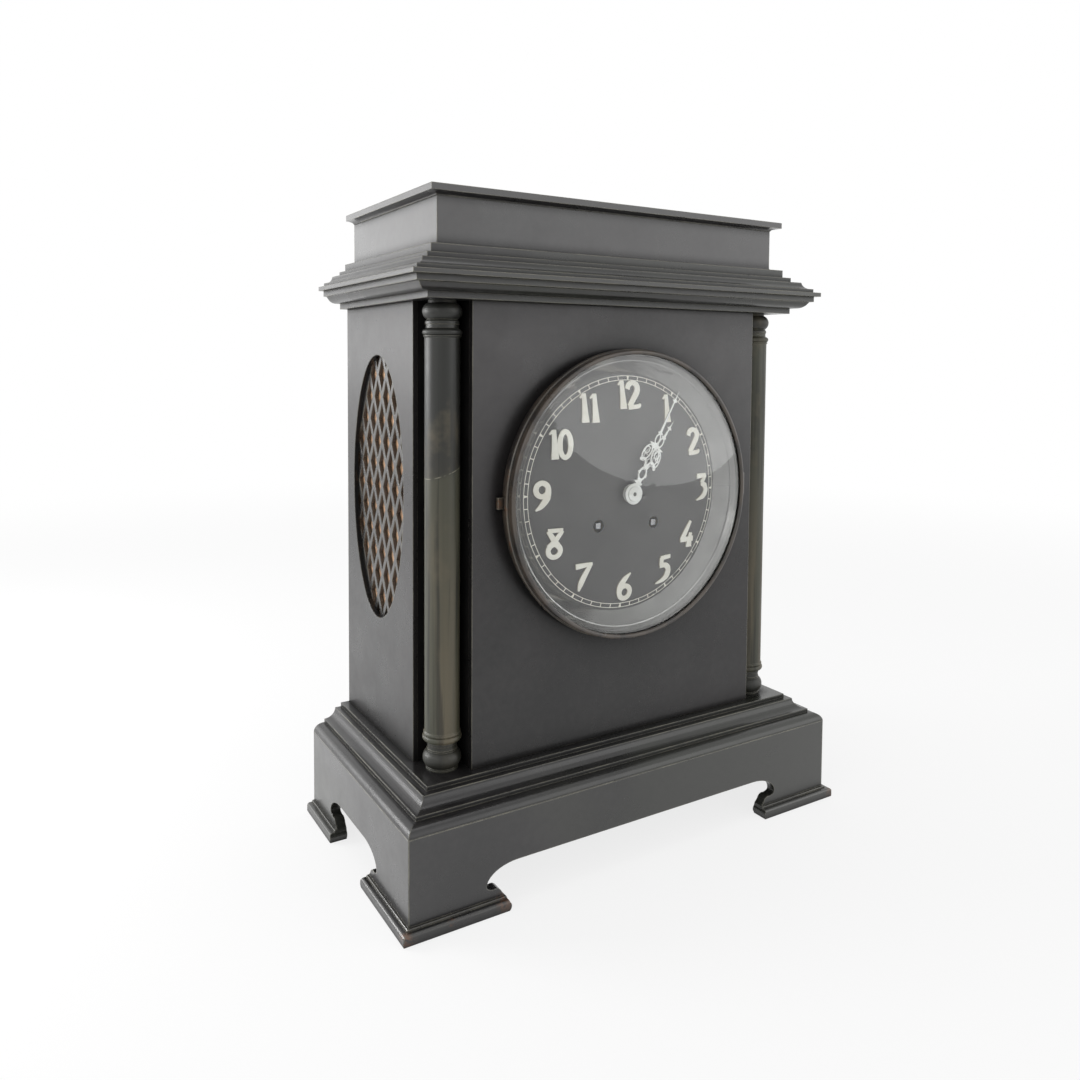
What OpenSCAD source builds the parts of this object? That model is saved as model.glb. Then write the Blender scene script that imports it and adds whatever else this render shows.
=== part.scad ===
// Empire shelf clock: moulded metal case with four bracket feet, two corner columns,
// oval lattice sound grilles, a hinged glazed bezel and an eight-day striking movement.
// The origin is on the ground under the middle of the case, +X to the right of the
// dial, +Y to the back, +Z up. Sizes are in millimetres.

/* [Whole clock] */
// Width over the shoes of the feet
overall_w = 386.8; // [384:0.2:390]
// Depth from the flat back to the front shoes
overall_d = 198.4; // [196:0.2:201]
// Height of the deck that the columns stand on
deck_z = 84.3; // [82:0.1:86]
// Clear height between the deck and the architrave
case_h = 320.9; // [318:0.1:324]

/* [Case] */
// How far the case body stands in from the shoes on each side
case_in = 35.6; // [34.4:0.1:37.4]
// Width of a column bay, from the case side to the flat front panel
bay_w = 29.5; // [28.5:0.1:31]
// How far the column niche runs back from the front panel
niche_d = 31.6; // [30:0.1:33]
// Thickness of the front panel
panel_t = 5; // [4:0.5:6]
// Thickness of the side panels
side_t = 3.7; // [3.2:0.1:5]
// Thickness of the base walls
skirt_t = 7.7; // [6:0.1:9]
// How far the base wall stands in from the shoes
skirt_in = 5.8; // [5:0.1:7]
// Height of the cornice over the columns
cornice_h = 35.8; // [35:0.1:37]

/* [Bracket feet] */
// Length of a front foot along the front, at its widest
foot_w = 61.4; // [57:0.1:67]
// Height of the flat crown of the arches
arch_top = 30.5; // [28:0.5:33]
// Length of a front foot along the side
side_foot_front = 60.9; // [57:0.1:65]
// Length of a back foot along the side
side_foot_back = 41.5; // [38:0.1:45]

/* [Columns] */
// Radius of the plain shaft
shaft_r = 12.15; // [11:0.05:12.5]
// Radius of the turned rings and the cushion under the architrave
ring_r = 13.6; // [13.2:0.05:14]

/* [Dial and bezel] */
// Height of the dial centre over the deck
dial_up = 182.7; // [181:0.1:185]
// Turn of the dial and movement in the case, clockwise seen from the front
dial_turn = 1.7; // [0:0.1:3]
// Radius of the dial plate
dial_r = 96.5; // [95:0.5:97]
// How far the bezel reaches over the dial plate all round
bezel_w = 10.7; // [10.2:0.1:11.5]
// How far the bezel stands out from the front panel
bezel_h = 16.5; // [16:0.1:17.5]
// How far the middle of the dial stands out from its rim
dial_rise = 6.5; // [6:0.1:7]
// How far the middle of the convex glass stands out from its rim
glass_rise = 10; // [9:0.5:12]
// Length of the minute hand from its centre
minute_len = 87; // [84:0.5:88]
// Length of the hour hand from its centre
hour_len = 67; // [62:0.5:70]
// Minute hand, degrees clockwise from upright
minute_deg = 29.5; // [0:0.5:360]
// Hour hand, degrees clockwise from upright
hour_deg = 37.3; // [0:0.1:360]

/* [Side grilles] */
// Width of the side panel behind the oval
grille_back = 14.7; // [13:0.1:17]
// Height of the middle of the oval over the deck
grille_up = 185.2; // [183:0.1:187]
// Half width of the oval
oval_ry = 50; // [48:1:52]
// Half height of the oval
oval_rz = 99; // [96:1:101]
// Width of one diamond of the lattice, bar middle to bar middle
diamond_w = 17; // [16:0.5:18]
// Height of one diamond of the lattice, bar middle to bar middle
diamond_h = 33.8; // [32:0.2:35]
// Width of a lattice bar, measured across the bar
bar_w = 3.7; // [3:0.1:5]

/* [Back door] */
// Width of the back frame beside the door opening
door_in = 47.8; // [46:0.1:58]
// Half height of the door opening
door_hh = 117; // [105:1:120]

/* [Movement] */
// Half width of the movement plates
plate_hw = 58; // [57.5:0.5:62]
// Half distance between the two winding squares
wind_x = 25.5; // [25.3:0.1:26]
// Drop of the winding squares below the dial centre
wind_drop = 23.5; // [23:0.1:24]
// Running clearance of a pivot or arbor in its hole, on the radius
run_fit = 0.06; // [0.04:0.01:0.1]

/* [Hidden] */
$fn = 72;

half_d = overall_d / 2;
back_y = half_d;
// A moulding of half width w has its front face at mitre_c - w
mitre_c = overall_w / 2 - half_d;
case_top = deck_z + case_h;
body_hw = overall_w / 2 - case_in;
panel_hw = body_hw - bay_w;
// Half width that every moulding reaches inwards to
core_w = body_hw - 7.8;
front_y = mitre_c - body_hw;
niche_y = front_y + niche_d;
panel_back = front_y + panel_t;
column_x = (panel_hw + body_hw) / 2;
column_y = (front_y + niche_y) / 2;
skirt_w = overall_w / 2 - skirt_in;
skirt_top = deck_z - 19.8;
shoe_h = 7.3;
step_h = 8.6;
arch_hw = overall_w / 2 - foot_w;
side_arch_hw = (overall_d - side_foot_front - side_foot_back) / 2;
side_arch_y = (side_foot_front - side_foot_back) / 2;
dial_z = deck_z + dial_up;
grille_y = back_y - grille_back - oval_ry;
grille_z = deck_z + grille_up;
door_hw = body_hw - door_in;
bezel_r = dial_r + bezel_w;

bronze = "#4a423b";
worn = "#5f5344";
brass = "#b08d4a";
steel = "#8d9096";
cream = "#e6dcc4";
cloth_c = "#a8744a";

// Distances in front of the middle of the clock, along -Y
f_panel = -front_y;
f_dial = f_panel - 2.7;
dial_t = 1;
dome_r = dial_r - 6.5;
f_rim = f_panel + bezel_h;
f_bezel = f_panel + 0.3;
glass_t = 2.2;
f_glass = f_rim - 2.1;
glass_r = bezel_r - 3.3;
lens_r = glass_r - 2;
lip = 4.3;
hinge_x = bezel_r + 5.8;
hinge_f = f_panel + 4.7;
knuckle_r = 3;
knuckle_h = 17;

f_front = f_panel - 13.6;
plate_t = 2.5;
f_back = f_front - 45;
plate_top = 60;
plate_low = 56;
pivot_r = 0.5;

function arc(c, rx, ry, a0, a1, n = 8) =
    [for (i = [0:n]) let (a = a0 + (a1 - a0) * i / n) c + [rx * cos(a), ry * sin(a)]];
function polar(r, a) = [r * cos(a), r * sin(a)];
function dist(a, b) = norm(b - a);
// Height of a shallow dome at radius r, and its points from the middle out
function bulge(r, big, rise) = r < big ? rise * (1 - pow(r / big, 2)) : 0;
function dome(f, big, rise, n = 16) = [for (i = [0:n]) let (r = big * i / n) [r, f + bulge(r, big, rise)]];
function turned_back(line) = [for (i = [len(line) - 1:-1:0]) line[i]];
// Point at ra from a and rb from b, on the left of the way from a to b
function meet(a, ra, b, rb) =
    let (d = dist(a, b), s = (ra * ra - rb * rb + d * d) / (2 * d), h = sqrt(ra * ra - s * s),
         u = (b - a) / d) a + s * u + h * [-u[1], u[0]];

module ellipse(rx, ry, n = 72) {
    polygon(arc([0, 0], rx, ry, 0, 360 * (1 - 1 / n), n - 1));
}

// A profile of [half width, height] run round the front and both sides, mitred
module three_sides(profile) {
    z0 = -10;
    far = 400;
    for (side = [0, 1]) mirror([side, 0, 0]) intersection() {
        translate([0, back_y, 0]) rotate([90, 0, 0]) linear_extrude(overall_d + 20) polygon(profile);
        translate([0, 0, z0]) linear_extrude(600)
            polygon([[mitre_c - back_y, back_y], [far, back_y], [far, mitre_c - far]]);
    }
    intersection() {
        translate([-far, mitre_c, 0]) rotate([90, 0, 90]) linear_extrude(2 * far)
            polygon([for (p = profile) [-p[0], p[1]]]);
        translate([0, 0, z0]) linear_extrude(600)
            polygon([[0, mitre_c], [far, mitre_c - far], [-far, mitre_c - far]]);
    }
}

module block(x0, x1, y0, y1, z0, z1) {
    translate([x0, y0, z0]) cube([x1 - x0, y1 - y0, z1 - z0]);
}

// Half of the opening between two bracket feet, from the middle out
function arch_half(hw) = concat([[0, arch_top]],
    arc([hw - 24, arch_top - 12.5], 24, 12.5, 90, 0, 10),
    arc([hw - 2.6, arch_top - 13], 2.4, 2, -10, -80, 3),
    arc([hw - 6.5, 9.5], 5.2, 5.6, 70, 160, 5),
    [[hw - 13, 9.6], [hw - 14, step_h]],
    arc([hw - 12.5, shoe_h / 2], 3.4, 3.6, 130, 230, 5),
    [[hw - 14, -5], [0, -5]]);

module arch_cut(hw) {
    for (s = [0, 1]) mirror([s, 0, 0]) polygon(arch_half(hw));
}

// Wall, ankle step and shoe of the base, as [half width, height]
skirt_profile = concat([[skirt_w - skirt_t, 0], [overall_w / 2 - 0.8, 0]],
    arc([overall_w / 2 - 1.2, 1.2], 1.2, 1.2, -60, 0, 2),
    arc([overall_w / 2 - 2, shoe_h - 2], 2, 2, 0, 80, 3),
    [[skirt_w + 1.8, shoe_h], [skirt_w + 1.8, step_h - 0.4], [skirt_w + 1.4, step_h], [skirt_w, step_h],
     [skirt_w, skirt_top], [skirt_w - skirt_t, skirt_top]]);

module base_front() {
    color(bronze) difference() {
        intersection() {
            three_sides(skirt_profile);
            translate([0, 0, -1]) linear_extrude(100)
                polygon([[0, mitre_c], [300, mitre_c - 300], [-300, mitre_c - 300]]);
        }
        translate([0, 0, 0]) rotate([90, 0, 0]) linear_extrude(200) arch_cut(arch_hw);
    }
}

module base_side() {
    difference() {
        intersection() {
            three_sides(skirt_profile);
            translate([0, 0, -1]) linear_extrude(100)
                polygon([[mitre_c - back_y, back_y], [400, back_y], [400, mitre_c - 400]]);
        }
        translate([100, side_arch_y, 0]) rotate([90, 0, 90]) linear_extrude(200)
            arch_cut(side_arch_hw);
    }
}

module base_right() { color(bronze) base_side(); }
module base_left() { color(bronze) mirror([1, 0, 0]) base_side(); }

module base_back() {
    hw = skirt_w - skirt_t;
    color(bronze) difference() {
        block(-hw, hw, back_y - skirt_t, back_y, 0, skirt_top);
        translate([0, back_y + 20, 0]) rotate([90, 0, 0]) linear_extrude(60) arch_cut(arch_hw);
    }
}

// Quarter round, fillet and hollow under the deck slab
base_profile = let (in_x = body_hw + 7.1, out_x = skirt_w - 9.1) concat(
    [[core_w, skirt_top], [skirt_w, skirt_top]],
    arc([skirt_w - 7.4, skirt_top], 7.4, 6.3, 0, 90, 8),
    [[out_x + 0.3, skirt_top + 6.3], [out_x + 0.3, skirt_top + 9]],
    arc([out_x, deck_z - 3.1], out_x - in_x - 4.8, 7.7, 270, 180, 8),
    [[in_x, deck_z - 3.1], [in_x, deck_z], [core_w, deck_z]]);

module base_moulding() {
    in_w = skirt_w - 17.6;
    core = core_w + 5;
    color(bronze) difference() {
        union() {
            three_sides(base_profile);
            block(-core, core, mitre_c - core, back_y, skirt_top, deck_z);
        }
        block(-in_w, in_w, mitre_c - in_w, back_y - skirt_t, skirt_top - 1, deck_z - 7.5);
        for (s = [-1, 1]) translate([s * column_x, column_y, deck_z - 4]) cylinder(r = 4, h = 10);
    }
}

module front_panel() {
    color(bronze) difference() {
        block(-panel_hw, panel_hw, front_y, panel_back, deck_z, case_top);
        translate([0, 0, dial_z]) rotate([90, 0, 0]) cylinder(r = dial_r + 1, h = 300, $fn = 144);
    }
}

module side_panel() {
    difference() {
        block(body_hw - side_t, body_hw, niche_y, back_y, deck_z, case_top);
        translate([100, grille_y, grille_z]) rotate([90, 0, 90]) linear_extrude(100)
            ellipse(oval_ry, oval_rz, 96);
    }
}

module side_right() { color(bronze) side_panel(); }
module side_left() { color(bronze) mirror([1, 0, 0]) side_panel(); }

module corner_plate() {
    t = 4;
    translate([0, 0, deck_z]) linear_extrude(case_h)
        polygon([[panel_hw - t, panel_back], [panel_hw, panel_back], [panel_hw, niche_y],
            [body_hw - side_t, niche_y], [body_hw - side_t, niche_y + t], [panel_hw - t, niche_y + t]]);
}

module corner_right() { color(bronze) corner_plate(); }
module corner_left() { color(bronze) mirror([1, 0, 0]) corner_plate(); }

door_back = back_y - 6;
frame_t = 5;
door_t = 2;
door_gap = 0.6;
barrel_r = 2.6;
barrel_y = door_back + barrel_r + 0.15;
door_hinge_z = 80;

module back_frame() {
    hw = body_hw - side_t;
    color(bronze) difference() {
        union() {
            difference() {
                block(-hw, hw, door_back - frame_t, door_back, deck_z, case_top);
                block(-door_hw, door_hw, 0, back_y, dial_z - door_hh, dial_z + door_hh);
            }
            for (s = [-1, 1]) translate([0, 0, dial_z + s * door_hinge_z]) for (e = [-9.2, 4.2]) {
                translate([-door_hw, barrel_y, e]) cylinder(r = barrel_r, h = 5);
                block(-door_hw - 9, -door_hw - 0.3, door_back - 0.5, door_back + 1.2, e, e + 5);
            }
        }
        translate([-door_hw, barrel_y, 0]) cylinder(r = 1.1, h = 500);
        // Relief round the grille and its cloth
        for (s = [0, 1]) mirror([s, 0, 0])
            oval_layer(lattice_x - keeper_t - cloth_t - relief, lattice_t + keeper_t + cloth_t + 2 * relief)
                ellipse(oval_ry + oval_edge + relief, oval_rz + oval_edge + relief);
    }
}

module back_door() {
    hw = door_hw - door_gap;
    hh = door_hh - door_gap;
    color(bronze) difference() {
        union() {
            block(-hw, hw, door_back - door_t, door_back, dial_z - hh, dial_z + hh);
            for (s = [-1, 1]) translate([0, 0, dial_z + s * door_hinge_z - 4]) {
                translate([-door_hw, barrel_y, 0]) cylinder(r = barrel_r, h = 8);
                block(-hw, -hw + 9, door_back - 0.5, door_back + 1.2, 0, 8);
            }
        }
        translate([-door_hw, barrel_y, 0]) cylinder(r = 1.1 + run_fit, h = 500);
        translate([knob_x, back_y, dial_z]) rotate([90, 0, 0]) cylinder(r = 1.5 + run_fit, h = 20);
    }
}

module door_pins() {
    color(steel) for (s = [-1, 1])
        translate([-door_hw, barrel_y, dial_z + s * door_hinge_z - 9.2]) cylinder(r = 1.1, h = 18.4);
}

knob_x = door_hw - 15;

// Knob, spindle and the tongue that turns behind the frame
module door_latch() {
    color(brass) translate([knob_x, 0, dial_z]) {
        translate([0, door_back + 0.2, 0]) rotate([-90, 0, 0]) rotate_extrude()
            polygon(concat([[0, 0], [4, 0], [3, 1.4]], arc([3.6, 3.4], 2.6, 2, -70, 90, 8), [[0, 5.4]]));
        translate([0, door_back + 1, 0]) rotate([90, 0, 0]) cylinder(r = 1.5, h = 8.2);
        block(-3, 3, door_back - 7.2, door_back - 5.6, -4, 22);
    }
}

// Architrave, hollow, fascia, fillet, upper hollow and two steps, from the case up
cornice_profile = let (z = case_top, b = body_hw) concat(
    [[core_w, z], [b + 6.1, z], [b + 6.1, z + 4.3], [b + 9.6, z + 4.3]],
    arc([b + 9.6, z + 11], 7.2, 6.7, 270, 325, 5),
    [[b + 17, z + 9.3], [b + 19.6, z + 9.6], [b + 19.6, z + 13.8], [b + 23.5, z + 13.8], [b + 23.5, z + 17],
     [b + 19.2, z + 17], [b + 19.2, z + 20]],
    arc([b + 18.7, z + 26.3], 6.4, 6.4, 270, 187, 8),
    [[b + 6.4, z + 25.7], [b + 6.4, z + 29.5], [b + 1.7, z + 29.5], [b + 1.7, z + cornice_h],
     [core_w, z + cornice_h]]);

module cornice() {
    in_w = core_w - 6;
    core = core_w + 5;
    color(bronze) difference() {
        union() {
            three_sides(cornice_profile);
            block(-core, core, mitre_c - core, back_y, case_top, case_top + cornice_h);
        }
        block(-in_w, in_w, mitre_c - in_w, back_y - 8, case_top + 4, case_top + cornice_h + 4);
        for (s = [-1, 1]) translate([s * column_x, column_y, case_top - 2]) cylinder(r = 4, h = 5.5);
    }
}

attic_z = case_top + cornice_h;
attic_h = 32.4;
attic_w = body_hw - 6.1;
attic_in = core_w - 10;
attic_profile = concat([[attic_in, attic_z], [attic_w + 1.4, attic_z]],
    arc([attic_w + 1.6, attic_z + 2.4], 1.6, 2, 260, 190, 4),
    [[attic_w, attic_z + 3], [attic_w, attic_z + attic_h], [attic_in, attic_z + attic_h]]);

module attic() {
    in_w = attic_w - 6;
    core = attic_in + 5;
    color(bronze) difference() {
        union() {
            three_sides(attic_profile);
            block(-core, core, mitre_c - core, back_y, attic_z, attic_z + attic_h);
        }
        block(-in_w, in_w, mitre_c - in_w, back_y - 6, attic_z - 1, attic_z + attic_h + 1);
    }
}

slab_z = attic_z + attic_h;
slab_h = 6.6;
slab_w = body_hw + 0.7;
hollow_h = 2.1;
slab_profile = concat([[attic_in, slab_z]],
    arc([slab_w - 0.5, slab_z], slab_w - attic_w - 0.9, hollow_h, 180, 90, 8),
    [[slab_w, slab_z + hollow_h], [slab_w, slab_z + slab_h], [attic_in, slab_z + slab_h]]);

module top_slab() {
    color(bronze) union() {
        three_sides(slab_profile);
        block(-attic_in - 5, attic_in + 5, mitre_c - attic_in - 5, back_y, slab_z, slab_z + slab_h);
    }
}

// Half outline of a turned column, from the deck up
function column_profile() = let (b = deck_z, t = case_top) concat(
    [[0, b - 3.8], [3.9, b - 3.8], [3.9, b], [11.3, b], [11.3, b + 1]],
    arc([ring_r - 6, b + 7.4], 5.8, 6.4, -62, 62, 10),
    [[10.5, b + 14.2], [10.2, b + 14.4], [10.2, b + 17], [10.5, b + 17.2], [10.5, b + 19.4]],
    arc([ring_r - 2.4, b + 22], 2.4, 2.4, -70, 78, 8),
    [[12.9, b + 24.6], [12.9, b + 25.6], [shaft_r, b + 26.6], [shaft_r, t - 25.4],
     [12.9, t - 24.4], [12.9, t - 23.8]],
    arc([ring_r - 2.2, t - 21.6], 2.2, 2.2, -78, 78, 8),
    [[11.2, t - 18.8], [11.2, t - 16.4], [11.7, t - 16.2], [11.7, t - 14.4]],
    arc([ring_r - 6, t - 7.6], 6, 6.2, -60, 66, 10),
    [[9.8, t - 2.2], [9.6, t], [3.9, t], [3.9, t + 3.2], [0, t + 3.2]]);

module column(s) {
    color(worn) translate([s * column_x, column_y, 0]) rotate_extrude() polygon(column_profile());
}

module column_left() { column(-1); }
module column_right() { column(1); }

oval_edge = 7;
lattice_t = 3;
keeper_t = 4;
cloth_t = 1;
relief = 0.3;
lattice_x = body_hw - side_t - lattice_t;
// Half width and half height of the hole in a diamond
hole_w = diamond_w / 2 - bar_w / 2 / sin(atan2(diamond_h, diamond_w));
hole_h = hole_w * diamond_h / diamond_w;

module lattice_holes() {
    rows = 7;
    for (r = [-rows:rows], c = [-4:4]) translate([(c + abs(r + 1) % 2 / 2) * diamond_w, r * diamond_h / 2])
        polygon([[-hole_w, 0], [0, -hole_h], [hole_w, 0], [0, hole_h]]);
}

// Flat pieces behind the oval, drawn on the right side of the case
module oval_layer(x0, t) {
    translate([x0, grille_y, grille_z]) rotate([90, 0, 90]) linear_extrude(t) children();
}

module grille() {
    oval_layer(lattice_x, lattice_t) difference() {
        ellipse(oval_ry + oval_edge, oval_rz + oval_edge);
        intersection() {
            ellipse(oval_ry + 4, oval_rz + 4);
            lattice_holes();
        }
    }
}

module keeper() {
    oval_layer(lattice_x - cloth_t - keeper_t, keeper_t) difference() {
        ellipse(oval_ry + oval_edge, oval_rz + oval_edge);
        ellipse(oval_ry + 1.5, oval_rz + 1.5);
    }
}

module cloth() {
    oval_layer(lattice_x - cloth_t, cloth_t) ellipse(oval_ry + oval_edge - 1, oval_rz + oval_edge - 1);
}

module grille_right() { color(steel) grille(); }
module grille_left() { color(steel) mirror([1, 0, 0]) grille(); }
module keeper_right() { color(bronze) keeper(); }
module keeper_left() { color(bronze) mirror([1, 0, 0]) keeper(); }
module cloth_right() { color(cloth_c) cloth(); }
module cloth_left() { color(cloth_c) mirror([1, 0, 0]) cloth(); }

// Local frame of the dial: x right, y up, z out of the dial towards the front
module on_dial(turn = dial_turn) {
    translate([0, 0, dial_z]) rotate([0, turn, 0]) rotate([90, 0, 0]) children();
}

// Foot, bead, groove and half round rim of the bezel, as [radius, front]
bezel_profile = let (b = bezel_r, f = f_bezel) concat(
    [[dial_r + 1.2, f], [b - 2, f], [b - 2, f + 5.6], [b - 0.5, f + 6.1], [b, f + 6.8], [b, f + 9],
     [b - 0.5, f + 9.6], [b - 1.7, f + 9.9], [b - 1.7, f + 10.6], [b - 0.9, f + 11]],
    arc([b - (lip + 0.9) / 2, f_rim - 1.7], (lip - 0.9) / 2, 1.7, 0, 180, 10),
    [[b - lip, f_glass], [glass_r + 0.1, f_glass], [glass_r + 0.1, f + 1.6], [dial_r + 1.2, f + 1.6]]);

module bezel_ring() {
    color(bronze) difference() {
        union() {
            on_dial(0) rotate_extrude($fn = 180) polygon(bezel_profile);
            // Lug of the hinge, and the thumb piece opposite
            translate([hinge_x, -hinge_f, dial_z - 3.4]) cylinder(r = knuckle_r, h = 6.8);
            block(bezel_r - 2.9, hinge_x, -hinge_f - 1.6, -hinge_f + 1.6, dial_z - 3.4, dial_z + 3.4);
            block(-bezel_r - 3, -bezel_r + 2.9, -f_panel - 3.4, -f_panel - 0.5, dial_z - 4, dial_z + 4);
        }
        translate([hinge_x, -hinge_f, dial_z - 20]) cylinder(r = 1.3 + run_fit, h = 40);
    }
}

// Polished cone beside the minute track, a small step, and a second cone up to the glass
module sight_ring() {
    r0 = dial_r - 7.7;
    f0 = f_dial + 0.5;
    r1 = r0 + 9.2;
    f1 = f0 + 9;
    r2 = bezel_r - lip - 0.1;
    f2 = f_glass - glass_t;
    color("#9b9a96") on_dial(0) rotate_extrude($fn = 180) polygon([[r0, f0], [r1, f1], [r1, f1 + 0.7],
        [r1 + 0.8, f1 + 0.9], [r2, f2], [glass_r, f2], [glass_r, f2 - 0.8], [r2 + 0.4, f2 - 0.8],
        [r1 + 1.2, f1 - 0.1], [r0 + 1.1, f0]]);
}

// Convex glass with a flat margin under the lip of the bezel
module dial_glass() {
    f1 = f_glass - glass_t;
    color("#cfd8da", 0.3) on_dial(0) rotate_extrude($fn = 180)
        polygon(concat(dome(f_glass, lens_r, glass_rise), [[glass_r, f_glass], [glass_r, f1]],
            turned_back(dome(f1, lens_r, glass_rise))));
}

module bezel_hinge() {
    color(bronze) difference() {
        for (e = [-knuckle_h / 2, 3.6]) {
            h = knuckle_h / 2 - 3.6;
            translate([hinge_x, -hinge_f, dial_z + e]) cylinder(r = knuckle_r, h = h);
            block(hinge_x - 2.4, hinge_x + 2.4, -hinge_f + 1, front_y, dial_z + e, dial_z + e + h);
        }
        translate([hinge_x, -hinge_f, dial_z - 20]) cylinder(r = 1.3, h = 40);
    }
}

module bezel_pin() {
    color(steel) translate([hinge_x, -hinge_f, dial_z - knuckle_h / 2]) cylinder(r = 1.3, h = knuckle_h);
}

// Places of the arbors, from the dial centre, x right and y up
time_at = [wind_x, -wind_drop];
strike_at = [-wind_x, -wind_drop];
centre_at = [0, 0];
great_n = 60;
great_m = 0.78;
leaf_n = 8;
second_n = 48;
second_m = 0.66;
centre_n = 48;
centre_m = 0.6;
small_n = 6;
third_n = 45;
third_m = 0.53;
fourth_n = 48;
fourth_m = 0.453;
second_at = meet(centre_at, (second_n + leaf_n) * second_m / 2, time_at, (great_n + leaf_n) * great_m / 2);
third_at = polar((centre_n + small_n) * centre_m / 2, 90);
fourth_at = third_at + polar((third_n + small_n) * third_m / 2, 50);
escape_at = fourth_at + polar((fourth_n + small_n) * fourth_m / 2, 110);
lever_at = escape_at + polar(12, 28);
balance_at = lever_at + polar(12, 10);
pin_at = strike_at + [0, (great_n + leaf_n) * great_m / 2];
warning_at = pin_at + polar((second_n + small_n) * second_m / 2, 60);
fly_at = warning_at + polar((third_n + small_n) * third_m / 2, 100);
hammer_at = [-54, -22];
bell_at = [-4, -14];
bell_r = 36;
idle_at = polar(16.8, 150);
pillar_at = [[52, 54], [-52, 54], [52, -50], [-52, -50]];

// Planes of the wheels: the back of each, in front of the middle of the clock
f_great = f_back + 18;
f_second = f_back + 11.5;
f_centre = f_back + 5.5;
f_third = f_back + 33;
f_fourth = f_back + 25;
f_escape = f_back + 15;
wheel_t = 1.5;

// Straight-flanked teeth: h_out and h_in in modules, widths in parts of the pitch
module teeth(n, m, h_out, h_in, w_root, w_tip, turn = 0) {
    p = 360 / n;
    r0 = n * m / 2 - h_in * m;
    r1 = n * m / 2 + h_out * m;
    rotate(turn) polygon([for (i = [0:n - 1]) each [polar(r0, (i - w_root / 2) * p),
        polar(r1, (i - w_tip / 2) * p), polar(r1, (i + w_tip / 2) * p), polar(r0, (i + w_root / 2) * p)]]);
}

module wheel_teeth(n, m, turn = 0) { teeth(n, m, 0.75, 1.15, 0.46, 0.18, turn); }
module pinion_teeth(n, m, turn = 0) { teeth(n, m, 0.55, 1.15, 0.36, 0.18, turn); }

module crossings(r_in, r_out, arms = 4) {
    difference() {
        circle(r_out);
        circle(r_in);
        for (i = [0:arms - 1]) rotate(i * 360 / arms) translate([0, -1]) square([r_out + 1, 2]);
    }
}

// A wheel with four arms, its teeth turned so that one lies at angle tooth_a
module wheel(n, m, f, tooth_a, t = wheel_t) {
    r = n * m / 2;
    translate([0, 0, f]) linear_extrude(t) difference() {
        wheel_teeth(n, m, tooth_a);
        crossings(r * 0.22 + 1.4, r - 2.2 * m - 0.9);
    }
}

module pinion(n, m, f, h, gap_a) {
    translate([0, 0, f]) linear_extrude(h) pinion_teeth(n, m, gap_a + 180 / n);
}

// Arbor between the plates with a thinner pivot in each
module arbor(r = 1) {
    translate([0, 0, f_back + plate_t + 0.3]) cylinder(r = r, h = f_front - f_back - 2 * plate_t - 0.6);
    translate([0, 0, f_back + 0.5]) cylinder(r = pivot_r, h = f_front - f_back - 1);
}

function aim(a, b) = atan2(b[1] - a[1], b[0] - a[0]);

module barrel(at, mate) {
    r = 22;
    on_dial() translate(at) difference() {
        union() {
            translate([0, 0, f_great]) linear_extrude(wheel_t + 0.5)
                wheel_teeth(great_n, great_m, aim(at, mate));
            translate([0, 0, f_great + 1]) cylinder(r = r, h = 21);
        }
        translate([0, 0, f_great + 2.5]) cylinder(r = r - 1.2, h = 18);
        translate([0, 0, f_great - 1]) cylinder(r = 2.4 + run_fit, h = 30);
    }
}

module time_barrel() { color(brass) barrel(time_at, second_at); }
module strike_barrel() { color(brass) barrel(strike_at, pin_at); }

// Winding arbor with its ratchet and the square that the key fits
module winder(at) {
    sq = 4.2;
    color(steel) on_dial() translate(at) {
        translate([0, 0, f_back + 0.5]) cylinder(r = 1.6, h = 4);
        translate([0, 0, f_back + plate_t + 0.3]) cylinder(r = 2.4, h = f_front - f_back + 2.4);
        translate([-sq / 2, -sq / 2, f_front])
            cube([sq, sq, f_dial + bulge(norm(at), dome_r, dial_rise) - dial_t - f_front + 0.6]);
        translate([0, 0, f_great + 22.4]) linear_extrude(1.6) teeth(16, 1, 0.2, 1, 0.9, 0.1);
    }
}

module time_winder() { winder(time_at); }
module strike_winder() { winder(strike_at); }

module second_wheel() {
    color(brass) on_dial() translate(second_at) {
        arbor();
        wheel(second_n, second_m, f_second, aim(second_at, centre_at));
        pinion(leaf_n, great_m, f_great - 0.6, 3.2, aim(second_at, time_at));
    }
}

module centre_wheel() {
    color(brass) on_dial() {
        translate([0, 0, f_back + 0.5]) cylinder(r = pivot_r, h = 4);
        translate([0, 0, f_back + plate_t + 0.3])
            cylinder(r = 1.5, h = f_minute + hand_t - f_back - plate_t + 0.9);
        wheel(centre_n, centre_m, f_centre, aim(centre_at, third_at));
        pinion(leaf_n, second_m, f_second - 0.6, 2.7, aim(centre_at, second_at));
    }
}

module third_wheel() {
    color(brass) on_dial() translate(third_at) {
        arbor();
        wheel(third_n, third_m, f_third, aim(third_at, fourth_at), 1.2);
        pinion(small_n, centre_m, f_centre - 0.6, 2.7, aim(third_at, centre_at));
    }
}

module fourth_wheel() {
    color(brass) on_dial() translate(fourth_at) {
        arbor(0.9);
        wheel(fourth_n, fourth_m, f_fourth, aim(fourth_at, escape_at), 1.2);
        pinion(small_n, third_m, f_third - 0.6, 2.4, aim(fourth_at, third_at));
    }
}

escape_r = 8;

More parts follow.
